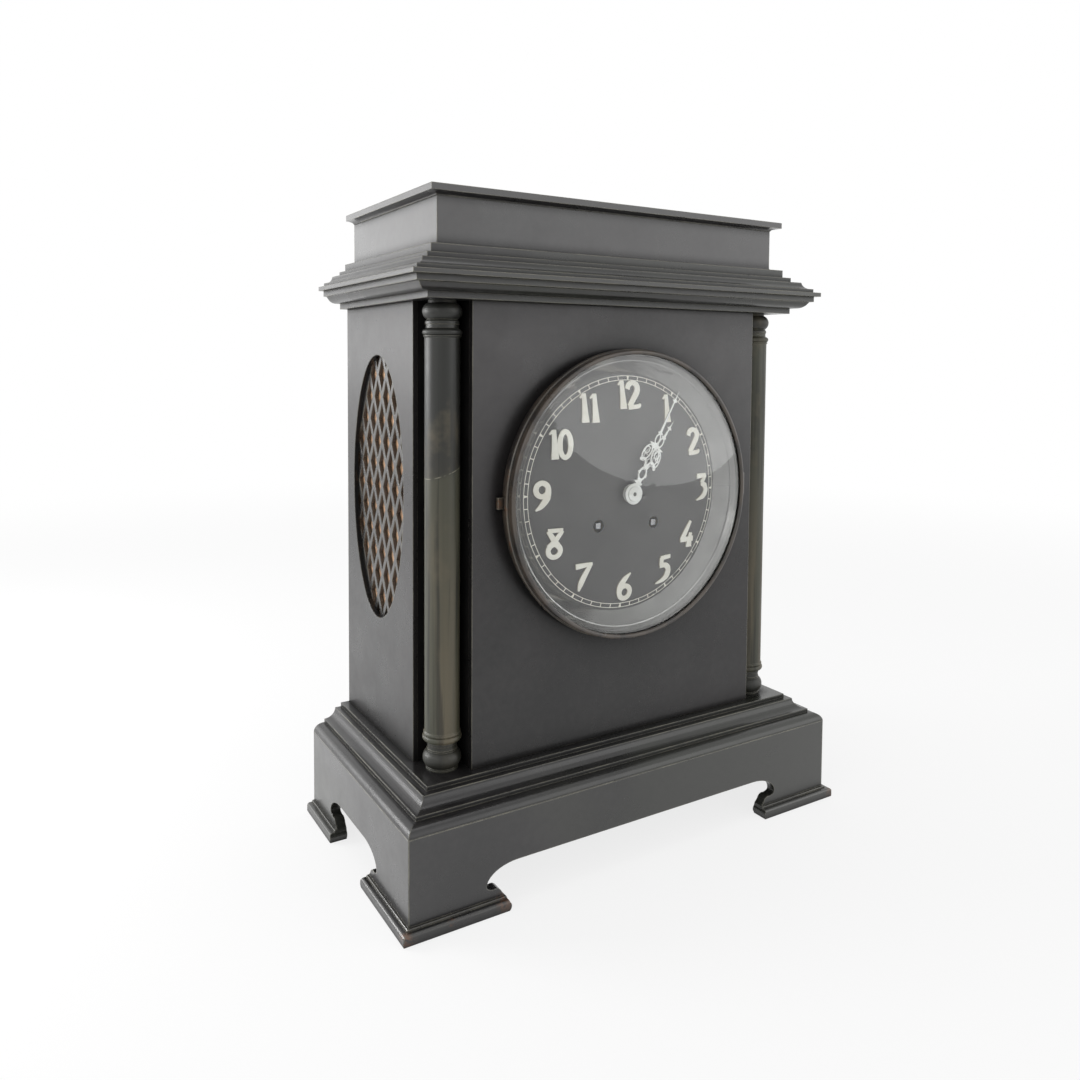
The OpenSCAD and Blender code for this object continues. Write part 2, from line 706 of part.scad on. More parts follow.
module escape_wheel() {
    n = 15;
    color(brass) on_dial() translate(escape_at) {
        arbor(0.7);
        translate([0, 0, f_escape]) linear_extrude(1) difference() {
            polygon([for (i = [0:n - 1]) each [polar(escape_r, i * 360 / n),
                polar(escape_r - 0.2, i * 360 / n + 3), polar(escape_r - 2, i * 360 / n + 5),
                polar(escape_r - 2, i * 360 / n + 17)]]);
            crossings(1.8, escape_r - 3);
        }
        pinion(small_n, fourth_m, f_fourth - 0.6, 2.4, aim(escape_at, fourth_at));
    }
}

// Anchor with two pallets over the escape wheel and a fork that faces the balance
module lever() {
    away = aim(escape_at, lever_at);
    fork = aim(lever_at, balance_at);
    color(steel) on_dial() translate(lever_at) {
        arbor(0.7);
        translate([0, 0, f_escape]) linear_extrude(1) {
            circle(1.8);
            for (s = [-1, 1]) rotate(away + 180) {
                polygon([[0, s * 1.2], [0, -s * 1.2], [2.9, s * 6.2], [4.8, s * 5.9],
                    [4.6, s * 7.4], [1.9, s * 7.2]]);
            }
            rotate(fork) {
                translate([0, -0.7]) square([6.6, 1.4]);
                for (s = [-1, 1]) polygon([[6, 0], [6.4, s * 1.8], [9, s * 2.2], [9, s * 1.2], [7.2, s * 0.9]]);
            }
        }
    }
}

f_wheel = f_back - 6.5;
balance_r = 9.5;

module balance_wheel() {
    color(brass) on_dial() translate(balance_at) {
        translate([0, 0, f_back - 10.2]) cylinder(r = pivot_r, h = f_front - f_back + 9.7);
        translate([0, 0, f_back - 8.9]) cylinder(r = 0.8, h = f_front - f_back + 5.9);
        translate([0, 0, f_wheel]) linear_extrude(1.4) difference() {
            circle(balance_r);
            crossings(1.8, balance_r - 1.5, 3);
        }
        translate([0, 0, f_escape - 2.4]) cylinder(r = 2.2, h = 1);
        translate([-1.6, 0, f_escape - 1.4]) cylinder(r = 0.3, h = 2);
    }
}

// Flat spiral between the staff and the stud of the cock
module hairspring() {
    turns = 5;
    step = 15;
    r0 = 1.3;
    pitch = 0.85;
    w = 0.14;
    n = turns * 360 / step;
    function spiral(i, d) = polar(r0 + pitch * i * step / 360 + d, i * step);
    color(steel) on_dial() translate(balance_at) translate([0, 0, f_back - 8.3]) linear_extrude(0.8)
        polygon(concat([for (i = [0:n]) spiral(i, w)], [for (i = [n:-1:0]) spiral(i, -w)]));
}

module balance_cock() {
    foot = 15;
    color(brass) on_dial() translate(balance_at) rotate(20) difference() {
        union() {
            translate([0, 0, f_back - 11.2]) linear_extrude(1.8) {
                circle(4);
                polygon([[0, 4], [foot, 5.5], [foot, -5.5], [0, -4]]);
            }
            translate([foot - 3.6, -5.5, f_back - 11.2]) cube([7, 11, 11.2]);
        }
        translate([0, 0, f_back - 12]) cylinder(r = pivot_r + run_fit, h = 10);
    }
}

module pin_wheel() {
    color(brass) on_dial() translate(pin_at) {
        arbor();
        wheel(second_n, second_m, f_second, aim(pin_at, warning_at));
        pinion(leaf_n, great_m, f_great - 0.6, 3.2, aim(pin_at, strike_at));
        for (i = [0:7]) rotate(i * 45) translate([12.9, 0, f_second + 1]) cylinder(r = 0.6, h = 3);
    }
}

module warning_wheel() {
    color(brass) on_dial() translate(warning_at) {
        arbor();
        wheel(third_n, third_m, f_fourth, aim(warning_at, fly_at), 1.2);
        pinion(small_n, second_m, f_second - 0.6, 2.7, aim(warning_at, pin_at));
    }
}

module fly() {
    color(brass) on_dial() translate(fly_at) {
        arbor(0.9);
        pinion(small_n, third_m, f_fourth - 0.6, 2.4, aim(fly_at, warning_at));
        translate([-9, -0.4, f_back + 8]) cube([18, 0.8, 14]);
    }
}

// Hammer arbor with its tail by the pin wheel and its head by the bell
module hammer() {
    head = bell_at + polar(bell_r + 5, 155);
    stem = dist(hammer_at, head);
    f = f_back - 17;
    color(steel) on_dial() {
        translate(hammer_at) {
            arbor(1.2);
            translate([0, 0, f]) cylinder(r = pivot_r, h = f_back - f + 3);
            translate([0, 0, f - 1]) cylinder(r = 2, h = 3);
            translate([0, 0, f]) rotate(aim(hammer_at, head)) translate([0, -0.8, -0.4]) cube([stem, 1.6, 1.8]);
            rotate(aim(hammer_at, pin_at)) translate([0, -0.8, f_second + 2.2]) cube([23, 1.6, 1.6]);
        }
        translate([head[0], head[1], f + 0.5]) rotate(155) rotate([0, 90, 0])
            translate([0, 0, -4.2]) cylinder(r = 3.4, h = 8.4);
    }
}

f_rim_bell = f_back - 12;

module bell() {
    h = 20;
    t = 1.6;
    color(brass) on_dial() translate(bell_at) translate([0, 0, f_rim_bell]) mirror([0, 0, 1])
        rotate_extrude() polygon(concat([[bell_r - 2, 0], [bell_r, 0], [bell_r - 1, 2.4]],
            arc([bell_r - 15, 6], 13.4, 14, 0, 84, 8), [[2.6, h + 0.4], [2.6, h + 0.4 - t]],
            arc([bell_r - 15, 6], 13.4 - t, 14 - t, 84, 0, 8)));
}

module bell_post() {
    color(steel) on_dial() translate(bell_at) {
        translate([0, 0, f_back - 2]) cylinder(r = 4, h = 2);
        translate([0, 0, f_rim_bell - 23]) cylinder(r = 2.5, h = f_back - f_rim_bell + 22);
        translate([0, 0, f_rim_bell - 18.6]) cylinder(r = 5, h = 1.6);
        translate([0, 0, f_rim_bell - 23]) cylinder(r = 5, h = 2.4, $fn = 6);
    }
}

module plate_shape() {
    c = 6;
    polygon([[c - plate_hw, -plate_low], [plate_hw - c, -plate_low], [plate_hw, c - plate_low],
        [plate_hw, plate_top - c], [plate_hw - c, plate_top], [c - plate_hw, plate_top],
        [-plate_hw, plate_top - c], [-plate_hw, c - plate_low]]);
}

train = [second_at, third_at, fourth_at, escape_at, lever_at, balance_at, pin_at, warning_at, fly_at,
    hammer_at];

// Hole along the dial's axis, long enough for any plate or pipe from f on
module bore(r, f, h = 60) {
    translate([0, 0, f]) cylinder(r = r, h = h);
}

module pivot_holes(f) {
    for (p = train) translate(p) bore(pivot_r + run_fit, f, 2 * plate_t);
}

module front_plate() {
    color(brass) on_dial() {
        difference() {
            translate([0, 0, f_front - plate_t]) linear_extrude(plate_t) plate_shape();
            pivot_holes(f_front - 1.5 * plate_t);
            bore(1.5 + run_fit, f_front - 2 * plate_t);
            for (p = [time_at, strike_at]) translate(p) bore(2.4 + run_fit, f_front - 2 * plate_t);
        }
        translate(idle_at) translate([0, 0, f_front]) cylinder(r = 1, h = 7);
    }
}

module back_plate() {
    color(brass) on_dial() difference() {
        translate([0, 0, f_back]) linear_extrude(plate_t) plate_shape();
        pivot_holes(f_back - plate_t / 2);
        translate(balance_at) bore(3, f_back - plate_t);
        bore(pivot_r + run_fit, f_back - plate_t);
        for (p = [time_at, strike_at]) translate(p) bore(1.6 + run_fit, f_back - plate_t);
    }
}

module plate_pillars() {
    h = f_front - f_back - 2 * plate_t;
    color(brass) on_dial() for (p = pillar_at) translate(p) translate([0, 0, f_back + plate_t])
        rotate_extrude() polygon(concat([[0, 0], [3.6, 0], [3.6, 2], [2.6, 3]],
            arc([2.4, h / 2], 1.4, 4, -80, 80, 6), [[2.6, h - 3], [3.6, h - 2], [3.6, h], [0, h]]));
}

// Two straps across the back of the front panel carry the movement on four posts
module movement_straps() {
    f1 = f_panel - panel_t;
    hw = dial_r + 11.5;
    color(steel) on_dial() for (s = [-1, 1]) {
        translate([-hw, s * 47 - 6, f1 - 2]) cube([2 * hw, 12, 2]);
        for (e = [-1, 1]) translate([e * 46, s * 47, f_front]) cylinder(r = 3, h = f1 - 1 - f_front);
    }
}

module dial_plate() {
    color("#33302c") on_dial() {
        difference() {
            rotate_extrude($fn = 144) polygon(concat(dome(f_dial, dome_r, dial_rise),
                [[dial_r, f_dial], [dial_r, f_dial - dial_t]],
                turned_back(dome(f_dial - dial_t, dome_r, dial_rise))));
            bore(5.2, f_front);
            for (p = [time_at, strike_at]) translate(p) bore(4.6, f_front);
        }
        for (s = [-1, 1], e = [-1, 1]) translate([s * 36, e * 32, f_front])
            cylinder(r = 1.4, h = f_dial - dial_t + bulge(norm([36, 32]), dome_r, dial_rise) - f_front + 0.3);
    }
}

f_hour = f_dial + dial_rise + 2.4;
f_minute = f_hour + 2.8;
hand_t = 0.8;
seat_fit = 0.02;

module cannon_pinion() {
    color(brass) on_dial() {
        difference() {
            union() {
                translate([0, 0, f_front + 1]) linear_extrude(2.5)
                    pinion_teeth(12, 0.7, aim(centre_at, idle_at) + 15);
                translate([0, 0, f_front + 0.3]) cylinder(r = 3.4, h = f_minute + hand_t - f_front - 0.3);
            }
            bore(1.5, f_front - 1);
        }
    }
}

module hour_wheel() {
    n = 40;
    m = 0.672;
    color(brass) on_dial() difference() {
        union() {
            translate([0, 0, f_front + 4.2]) linear_extrude(1.3) wheel_teeth(n, m, aim(centre_at, idle_at));
            translate([0, 0, f_front + 4.2]) cylinder(r = 4.5, h = f_hour + hand_t - f_front - 4.2);
        }
        bore(3.4 + run_fit, f_front - 1);
    }
}

module minute_wheel() {
    color(brass) on_dial() translate(idle_at) difference() {
        union() {
            translate([0, 0, f_front + 1.2]) linear_extrude(1.2) wheel_teeth(36, 0.7, aim(idle_at, centre_at));
            pinion(10, 0.672, f_front + 2.2, 4, aim(idle_at, centre_at));
        }
        bore(1 + run_fit, f_front - 1);
    }
}

module ring_oval(x, y, rx, ry, w, turn = 0) {
    translate([x, y]) rotate(turn) difference() {
        ellipse(rx, ry, 32);
        ellipse(rx - w, ry - w, 32);
    }
}

// Pierced scroll hand along +Y: collar, loop, pair of scrolls, eye, star and needle point
module hand_shape(length, hub_r, star) {
    w = 1.1;
    loop_y = 17;
    scroll_y = 33;
    cross_y = 40.4;
    eye_y = 45.6;
    circle(hub_r);
    for (s = [0, 1]) mirror([s, 0, 0]) {
        polygon([[0, hub_r - 1], [3.2, hub_r - 0.6], [1.6, hub_r + 1.6], [4.4, hub_r + 2.6],
            [2, hub_r + 3.8], [2.2, loop_y - 4], [0, loop_y - 4]]);
        polygon([[2.6, loop_y - 1.6], [5, loop_y], [2.6, loop_y + 1.2]]);
        polygon([[0, loop_y + 4.4], [1.4, loop_y + 4.4], [2.6, scroll_y - 7], [6, scroll_y - 6.6],
            [5.6, scroll_y - 4.6], [2.6, scroll_y - 4.4], [0.5, scroll_y - 8.4], [0, scroll_y - 8.4]]);
        ring_oval(4.2, scroll_y, 3.8, 7, w, 12);
        ring_oval(4.9, scroll_y + 1.4, 2.4, 3.4, 0.9, 12);
        translate([6.6, scroll_y - 6.8]) circle(1.4, $fn = 24);
        polygon([[0, cross_y - 2.8], [3, cross_y - 1.4], [5.8, cross_y + 0.8], [1.6, cross_y + 1.4],
            [0, cross_y + 2.2]]);
        polygon([[0, star - 3.2], [0.9, star - 0.9], [2.6, star], [0.9, star + 0.9], [0, star + 3.2]]);
        polygon([[0, eye_y + 3.4], [0.8, eye_y + 3.4], [2.6, eye_y + 5.2], [1, eye_y + 6], [0.5, length - 8],
            [0, length]]);
    }
    ring_oval(0, loop_y, 3.7, 5.2, w);
    ring_oval(0, eye_y, 2.5, 4.4, w);
}

module hour_hand() {
    color(cream) on_dial(hour_deg) translate([0, 0, f_hour]) linear_extrude(hand_t) difference() {
        hand_shape(hour_len, 7, hour_len - 8);
        circle(4.5 + seat_fit);
    }
}

module minute_hand() {
    color(cream) on_dial(minute_deg) {
        translate([0, 0, f_minute]) linear_extrude(hand_t) difference() {
            hand_shape(minute_len, 6.6, minute_len - 9);
            circle(3.4 + seat_fit);
        }
    }
}

module hand_nut() {
    color(cream) on_dial() translate([0, 0, f_minute + hand_t]) difference() {
        rotate_extrude() polygon([[0, 0], [7.8, 0], [7.8, 0.7], [7.2, 1], [5.6, 1], [5.2, 1.6],
            [2.8, 1.6], [2.2, 1.9], [0, 2]]);
        bore(1.5, -5, 10);
    }
}

base_front();
base_left();
base_right();
base_back();
base_moulding();
front_panel();
side_left();
side_right();
corner_left();
corner_right();
back_frame();
cornice();
attic();
top_slab();
column_left();
column_right();
grille_left();
grille_right();
keeper_left();
keeper_right();
cloth_left();
cloth_right();
bezel_ring();
sight_ring();
dial_glass();
bezel_hinge();
bezel_pin();
dial_plate();
hour_hand();
minute_hand();
hand_nut();
cannon_pinion();
hour_wheel();
minute_wheel();
front_plate();
back_plate();
plate_pillars();
movement_straps();
time_barrel();
time_winder();
second_wheel();
centre_wheel();
third_wheel();
fourth_wheel();
escape_wheel();
lever();
balance_wheel();
balance_cock();
hairspring();
strike_barrel();
strike_winder();
pin_wheel();
warning_wheel();
fly();
hammer();
bell();
bell_post();
back_door();
door_pins();
door_latch();
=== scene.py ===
import math
import random

import bmesh
import bpy
from mathutils import Matrix, Vector


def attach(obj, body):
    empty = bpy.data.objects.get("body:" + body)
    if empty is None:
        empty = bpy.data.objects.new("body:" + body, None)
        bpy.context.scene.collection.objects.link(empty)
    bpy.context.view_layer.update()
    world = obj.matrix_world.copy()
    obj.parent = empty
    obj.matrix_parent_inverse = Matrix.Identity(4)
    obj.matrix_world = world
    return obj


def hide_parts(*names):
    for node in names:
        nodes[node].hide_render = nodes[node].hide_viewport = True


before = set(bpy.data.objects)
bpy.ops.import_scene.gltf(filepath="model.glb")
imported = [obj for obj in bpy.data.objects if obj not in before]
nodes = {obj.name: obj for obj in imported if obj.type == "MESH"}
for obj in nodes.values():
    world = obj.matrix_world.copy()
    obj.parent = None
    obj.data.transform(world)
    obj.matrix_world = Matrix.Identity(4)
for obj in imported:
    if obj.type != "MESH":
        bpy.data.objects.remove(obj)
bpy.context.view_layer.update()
mm = 0.001


class Wire:
    # a node's output that can stand in sums
    def __init__(self, finish, socket):
        self.finish = finish
        self.socket = socket

    def maths(self, kind, *others):
        return self.finish.node("ShaderNodeMath", {"operation": kind}, dict(enumerate((self, *others))))

    def flipped(self, kind, other):
        return self.finish.node("ShaderNodeMath", {"operation": kind}, {0: other, 1: self})

    def __add__(self, other):
        return self.maths("ADD", other)

    def __sub__(self, other):
        return self.maths("SUBTRACT", other)

    def __mul__(self, other):
        return self.maths("MULTIPLY", other)

    def __rsub__(self, other):
        return self.flipped("SUBTRACT", other)

    __radd__ = __add__
    __rmul__ = __mul__

    def sine(self):
        return self.maths("SINE")

    def clamp(self):
        return self.finish.node("ShaderNodeClamp", {}, {0: self})


# samples of the rounded edges and of the shaded corners, and where each mask starts and is full
masks = {
    "edgeSamples": 6, "edge": (0.005, 0.13), "cornerSamples": 5, "open": (0.42, 0.95), "side": (0.35, 0.75),
}


class Finish:
    # a material, or the world, put together node by node
    def __init__(self, name, holder=None):
        self.material = holder or bpy.data.materials.new(name)
        self.material.use_nodes = True
        self.tree = self.material.node_tree
        self.tree.nodes.clear()

    # settings come first, then socket values or links by name or number
    def node(self, kind, settings=None, sockets=None, out=0):
        made = self.tree.nodes.new(kind)
        for key, value in (settings or {}).items():
            setattr(made, key, value)
        for key, value in (sockets or {}).items():
            into = made.inputs[key]
            if isinstance(value, Wire):
                self.tree.links.new(value.socket, into)
            else:
                into.default_value = value
        return Wire(self, made.outputs[out]) if made.outputs else None

    def place(self):
        return self.node("ShaderNodeTexCoord", out="Object")

    def stretch(self, scale):
        return self.node("ShaderNodeVectorMath", {"operation": "MULTIPLY"}, {0: self.place(), 1: scale})

    def axes(self):
        split = self.node("ShaderNodeSeparateXYZ", {}, {0: self.place()})
        return [Wire(self, o) for o in split.socket.node.outputs]

    def noise(self, scale, detail, rough, at=None):
        return self.node("ShaderNodeTexNoise", {}, {
            "Vector": at or self.place(), "Scale": scale, "Detail": detail, "Roughness": rough})

    def band(self, value, low, high):
        # 0 below low, 1 above high, and a soft step between
        return self.node("ShaderNodeMapRange", {"interpolation_type": "SMOOTHSTEP"}, {
            "Value": value, "From Min": low, "From Max": high})

    def blend(self, mask, tone, other):
        # a colour mix has its inputs at 6 and 7 and its result at 2
        made = self.node("ShaderNodeMix", {"data_type": "RGBA"}, {0: mask}, 2)
        for into, value in ((6, tone), (7, other)):
            socket = made.socket.node.inputs[into]
            if isinstance(value, Wire):
                self.tree.links.new(value.socket, socket)
            else:
                socket.default_value = (*value, 1)
        return made

    def edges(self, radius):
        # rounded normal and a mask that is high on outer and inner edges
        soft = self.node("ShaderNodeBevel", {"samples": masks["edgeSamples"]}, {"Radius": radius})
        flat = self.node("ShaderNodeNewGeometry", out="Normal")
        near = self.node("ShaderNodeVectorMath", {"operation": "DOT_PRODUCT"}, {0: soft, 1: flat}, 1)
        return soft, self.band(1 - near, *masks["edge"])

    def corners(self, reach):
        # high where other faces stand close: the mask for painted shade in corners, creases and recesses
        settings = {"samples": masks["cornerSamples"]}
        openness = self.node("ShaderNodeAmbientOcclusion", settings, {"Distance": reach}, 1)
        return 1 - self.band(openness, *masks["open"])

    def sides(self):
        # high on faces that turn away from the front of the clock, for painted shade on the sides of numerals
        # and hands
        true = self.node("ShaderNodeNewGeometry", out="True Normal")
        front = self.node("ShaderNodeVectorMath", {"operation": "DOT_PRODUCT"}, {0: true, 1: (0, -1, 0)}, 1)
        return 1 - self.band(front, *masks["side"])

    def ray(self, *kinds):
        # 1 for a ray of any of these kinds
        outputs = self.node("ShaderNodeLightPath").socket.node.outputs
        first, *others = [Wire(self, outputs["Is %s Ray" % kind]) for kind in kinds]
        return sum(others, first).clamp()

    def bump(self, height, strength, depth, normal=None):
        sockets = {"Height": height, "Strength": strength, "Distance": depth}
        if normal:
            sockets["Normal"] = normal
        return self.node("ShaderNodeBump", {}, sockets)

    def shader(self, **sockets):
        named = {k.replace("_", " "): (*v, 1) if isinstance(v, tuple) else v for k, v in sockets.items()}
        return self.node("ShaderNodeBsdfPrincipled", {}, named)

    def surface(self, **sockets):
        return self.show(self.shader(**sockets))

    def show(self, shader, kind="ShaderNodeOutputMaterial"):
        self.node(kind, {}, {0: shader})
        return self.material


# sizes are noise scales, so a larger one makes a finer pattern
patina = {
    "dark": (0.0075, 0.0072, 0.0075), "light": (0.0205, 0.0190, 0.0190),
    "green": (0.023, 0.026, 0.018), "plum": (0.025, 0.0175, 0.020), "umber": (0.078, 0.060, 0.045),
    "edge": (0.30, 0.285, 0.215), "copper": (0.170, 0.074, 0.032), "cornerShade": (0.0065, 0.0062, 0.0060),
    "tintSize": 5.5, "cloudSize": 9, "rubSize": 31, "warmSize": 48, "fineSize": 170, "knockSize": 330,
    "grainSize": 1100,
    "shine": (0.24, 0.38), "waxShine": 0.18, "round": 0.0013, "worn": 0.75, "cornerShadeShare": 0.8,
}


# the shade reach is how far, in metres, the painted shade in corners and recesses reaches
def bronzePatina(name, wax, olive=0.0, lift=1.0, wornAt=(), warm=0.0, shadeReach=0.009):
    f = Finish(name)
    cloud = f.noise(patina["cloudSize"], 5, 0.6)
    fine = f.noise(patina["fineSize"], 3, 0.6)
    grain = f.noise(patina["grainSize"], 2, 0.5)
    rub = f.noise(patina["rubSize"], 4, 0.65)
    dark, light = (tuple(v * lift for v in patina[k]) for k in ("dark", "light"))
    tone = f.blend(f.band(cloud * 0.7 + fine * 0.3, 0.36, 0.66), dark, light)
    # a breath of green where the olive is set, a breath of plum elsewhere
    tint = f.band(f.noise(patina["tintSize"], 3, 0.5), 0.42, 0.62)
    tone = f.blend(tint * (0.25 + olive * 0.5), tone, patina["green"] if olive else patina["plum"])
    if warm:
        tone = f.blend(warm * f.band(f.noise(patina["warmSize"], 3, 0.5), 0.3, 0.6), tone, patina["umber"])
    soft, edge = f.edges(patina["round"])
    # edges lighter: rubbed through the patina where the rub noise is high, and a painted highlight along
    # every outer and inner edge
    worn = (edge * (0.35 + 0.65 * f.band(rub, 0.38, 0.62))).clamp()
    tone = f.blend(worn * patina["worn"], tone, patina["edge"])
    for at, reach in wornAt:
        # knocks at a corner show the copper under the patina
        gap = f.node("ShaderNodeVectorMath", {"operation": "DISTANCE"}, {0: f.place(), 1: at}, 1)
        near = 1 - f.band(gap, reach * 0.35, reach)
        patch = f.band(f.noise(patina["knockSize"], 3, 0.7), 0.44, 0.54) * (0.45 + 0.55 * edge)
        tone = f.blend((near * patch).clamp(), tone, patina["copper"])
    low, high = patina["shine"]
    gloss = low + (high - low) * f.band(cloud * 0.4 + rub * 0.6, 0.34, 0.66)
    normal = f.bump(fine * 0.6 + grain * 0.4, 0.06, 0.0005, soft)
    bronze = f.shader(Base_Color=tone, Roughness=gloss, Normal=normal, Coat_Weight=wax,
                      Coat_Roughness=patina["waxShine"])
    # a near-black matt shader mixed in where faces stand close: painted shade
    cornerShade = f.shader(Base_Color=patina["cornerShade"], Roughness=0.8, Specular_IOR_Level=0.12)
    cornerShadeShare = f.corners(shadeReach) * patina["cornerShadeShare"]
    return f.show(f.node("ShaderNodeMixShader", {}, {0: cornerShadeShare, 1: bronze, 2: cornerShade}))


# tones of the painted shade in the recess behind each column
nicheShadeTones = {"dark": (0.0035, 0.0033, 0.0034), "light": (0.0060, 0.0056, 0.0056), "size": 60}


def nicheSoot(name):
    # near black for the recess behind each column: painted shade
    f = Finish(name)
    tone = f.blend(f.band(f.noise(nicheShadeTones["size"], 4, 0.6), 0.4, 0.65), nicheShadeTones["dark"], nicheShadeTones["light"])
    return f.surface(Base_Color=tone, Roughness=0.75, Specular_IOR_Level=0.12)


# heights are in metres over the table, and lean is the slope across the column of the line of a painted
# horizon reflection
columnTones = {
    "grey": (0.0165, 0.0170, 0.0145), "olive": (0.0480, 0.0490, 0.0330), "brown": (0.1150, 0.0980, 0.0640),
    "streak": (0.0070, 0.0070, 0.0065), "cloudSize": 26, "wideSize": 75, "streakSize": 190, "grainSize": 900,
    "reflectedHorizon": 0.339, "lean": 0.35, "blur": 0.003, "low": 0.105, "foot": 0.1035, "scratch": 0.0005,
    "round": 0.0005, "shine": (0.40, 0.58), "wax": 0.12, "waxShine": 0.3, "glint": 0.38,
}


def columnBronze(name):
    c = columnTones
    f = Finish(name)
    x, _, z = f.axes()
    streak = f.noise(c["streakSize"], 3, 0.6, f.stretch((1, 1, 0.03)))
    wide = f.noise(c["wideSize"], 3, 0.55, f.stretch((1, 1, 0.04)))
    cloud = f.noise(c["cloudSize"], 4, 0.6)
    # grey above a slanting line with a scratch along it, olive and brown below, grey again at the foot. Grey
    # above and lighter below the line is a painted reflection of the horizon, laid over the olive and brown
    # of the column's own patina
    above = z - x * c["lean"] - c["reflectedHorizon"]
    tone = f.blend(1 - f.band(above, -c["blur"], c["blur"]), c["grey"], c["olive"])
    tone = f.blend((1 - f.band(z, c["low"], c["reflectedHorizon"])) * f.band(wide, 0.36, 0.60), tone, c["brown"])
    tone = f.blend(f.band(streak, 0.48, 0.64) * 0.6, tone, c["streak"])
    tone = f.blend(f.band(cloud, 0.50, 0.70) * f.band(wide, 0.40, 0.58) * 0.55, tone, c["brown"])
    scratch = 1 - f.band(above.maths("ABSOLUTE"), c["scratch"] * 0.4, c["scratch"])
    tone = f.blend(scratch * f.band(streak, 0.35, 0.55) * 0.5, tone, patina["edge"])
    tone = f.blend((1 - f.band(z, c["foot"] - mm, c["foot"])) * 0.85, tone, c["grey"])
    soft, edge = f.edges(c["round"])
    # lighter along the edges: rubbed metal and a painted highlight
    tone = f.blend(edge * 0.5, tone, patina["edge"])
    low, high = c["shine"]
    gloss = low + (high - low) * f.band(streak * 0.5 + cloud * 0.5, 0.35, 0.65)
    normal = f.bump(streak * 0.7 + f.noise(c["grainSize"], 2, 0.5) * 0.3, 0.10, 0.0005, soft)
    return f.surface(Base_Color=tone, Roughness=gloss, Normal=normal, Coat_Weight=c["wax"],
                     Coat_Roughness=c["waxShine"], Specular_IOR_Level=c["glint"])


# pair is the width of two threads
silk = {
    "under": (0.52, 0.27, 0.125), "over": (0.92, 0.60, 0.36), "slub": (0.93, 0.70, 0.48),
    "stain": (0.46, 0.24, 0.125), "pair": 0.00110, "sheen": 0.25, "stainSize": 24, "slubSize": 320,
}


def silkCloth(name):
    # plain weave of a warm tan speaker silk
    f = Finish(name)
    _, y, z = f.axes()
    pitch = 2 * math.pi / silk["pair"]
    weave = f.band((y * pitch).sine() * (z * pitch).sine(), -0.8, 0.8)
    slub = f.noise(silk["slubSize"], 3, 0.7, f.stretch((1, 1, 0.08)))
    stain = f.noise(silk["stainSize"], 4, 0.6)
    tone = f.blend(weave, silk["under"], silk["over"])
    tone = f.blend(f.band(slub, 0.55, 0.75) * 0.5, tone, silk["slub"])
    tone = f.blend(f.band(stain, 0.46, 0.70) * 0.5, tone, silk["stain"])
    normal = f.bump(weave * 0.8 + slub * 0.2, 0.5, 0.0003)
    return f.surface(Base_Color=tone, Roughness=0.9, Normal=normal, Sheen_Weight=silk["sheen"])


sightSilver = {
    "dull": (0.225, 0.222, 0.216), "bright": (0.285, 0.282, 0.275), "rough": 0.09,
    "hazeSize": 36, "turnSize": 420,
}


def silveredRing(name):
    f = Finish(name)
    turn = f.noise(sightSilver["turnSize"], 3, 0.6)
    haze = f.noise(sightSilver["hazeSize"], 4, 0.6)
    tone = f.blend(f.band(haze, 0.35, 0.68), sightSilver["dull"], sightSilver["bright"])
    rough = sightSilver["rough"] + 0.05 * haze + 0.03 * turn
    return f.surface(Base_Color=tone, Metallic=1.0, Roughness=rough)


dialTones = {
    "dark": (0.067, 0.065, 0.065), "light": (0.092, 0.089, 0.088), "fleck": (0.15, 0.135, 0.12),
    "rough": 0.66, "cloudSize": 22, "fleckSize": 500, "fineSize": 1500,
}


def dialBlack(name):
    f = Finish(name)
    cloud = f.noise(dialTones["cloudSize"], 5, 0.6)
    fine = f.noise(dialTones["fineSize"], 3, 0.6)
    tone = f.blend(f.band(cloud, 0.35, 0.66), dialTones["dark"], dialTones["light"])
    fleck = f.noise(dialTones["fleckSize"], 2, 0.6)
    tone = f.blend(f.band(fleck, 0.68, 0.74) * 0.35, tone, dialTones["fleck"])
    return f.surface(Base_Color=tone, Roughness=dialTones["rough"] + 0.2 * cloud,
                     Normal=f.bump(fine, 0.02, 0.0001))


ivory = {
    "cream": (0.93, 0.90, 0.82), "aged": (0.84, 0.80, 0.71), "fleck": (0.42, 0.37, 0.29),
    "shadedSide": (0.28, 0.225, 0.15), "rough": 0.48, "cloudSize": 70, "fleckSize": 900,
}


def ivoryPaint(name):
    # numerals cut from sheet: cream on the face, and tan down the sides that turn from the front as painted
    # shade
    f = Finish(name)
    cloud = f.noise(ivory["cloudSize"], 4, 0.6)
    fleck = f.noise(ivory["fleckSize"], 2, 0.6)
    tone = f.blend(f.band(cloud, 0.38, 0.66), ivory["cream"], ivory["aged"])
    tone = f.blend(f.band(fleck, 0.66, 0.72) * 0.5, tone, ivory["fleck"])
    tone = f.blend(f.sides() * 0.75, tone, ivory["shadedSide"])
    return f.surface(Base_Color=tone, Roughness=ivory["rough"] + 0.14 * cloud,
                     Normal=f.bump(fleck, 0.08, 0.0002))


handTones = {
    "bright": (0.86, 0.86, 0.84), "dull": (0.72, 0.71, 0.68), "shadedSide": (0.22, 0.21, 0.19), "rough": 0.36,
    "cloudSize": 120,
}


def handSilver(name):
    f = Finish(name)
    cloud = f.noise(handTones["cloudSize"], 4, 0.6)
    tone = f.blend(f.band(cloud, 0.36, 0.66), handTones["bright"], handTones["dull"])
    # darker down the sides that turn from the front: painted shade
    tone = f.blend(f.sides() * 0.8, tone, handTones["shadedSide"])
    return f.surface(Base_Color=tone, Metallic=0.15, Roughness=handTones["rough"] + 0.12 * cloud)


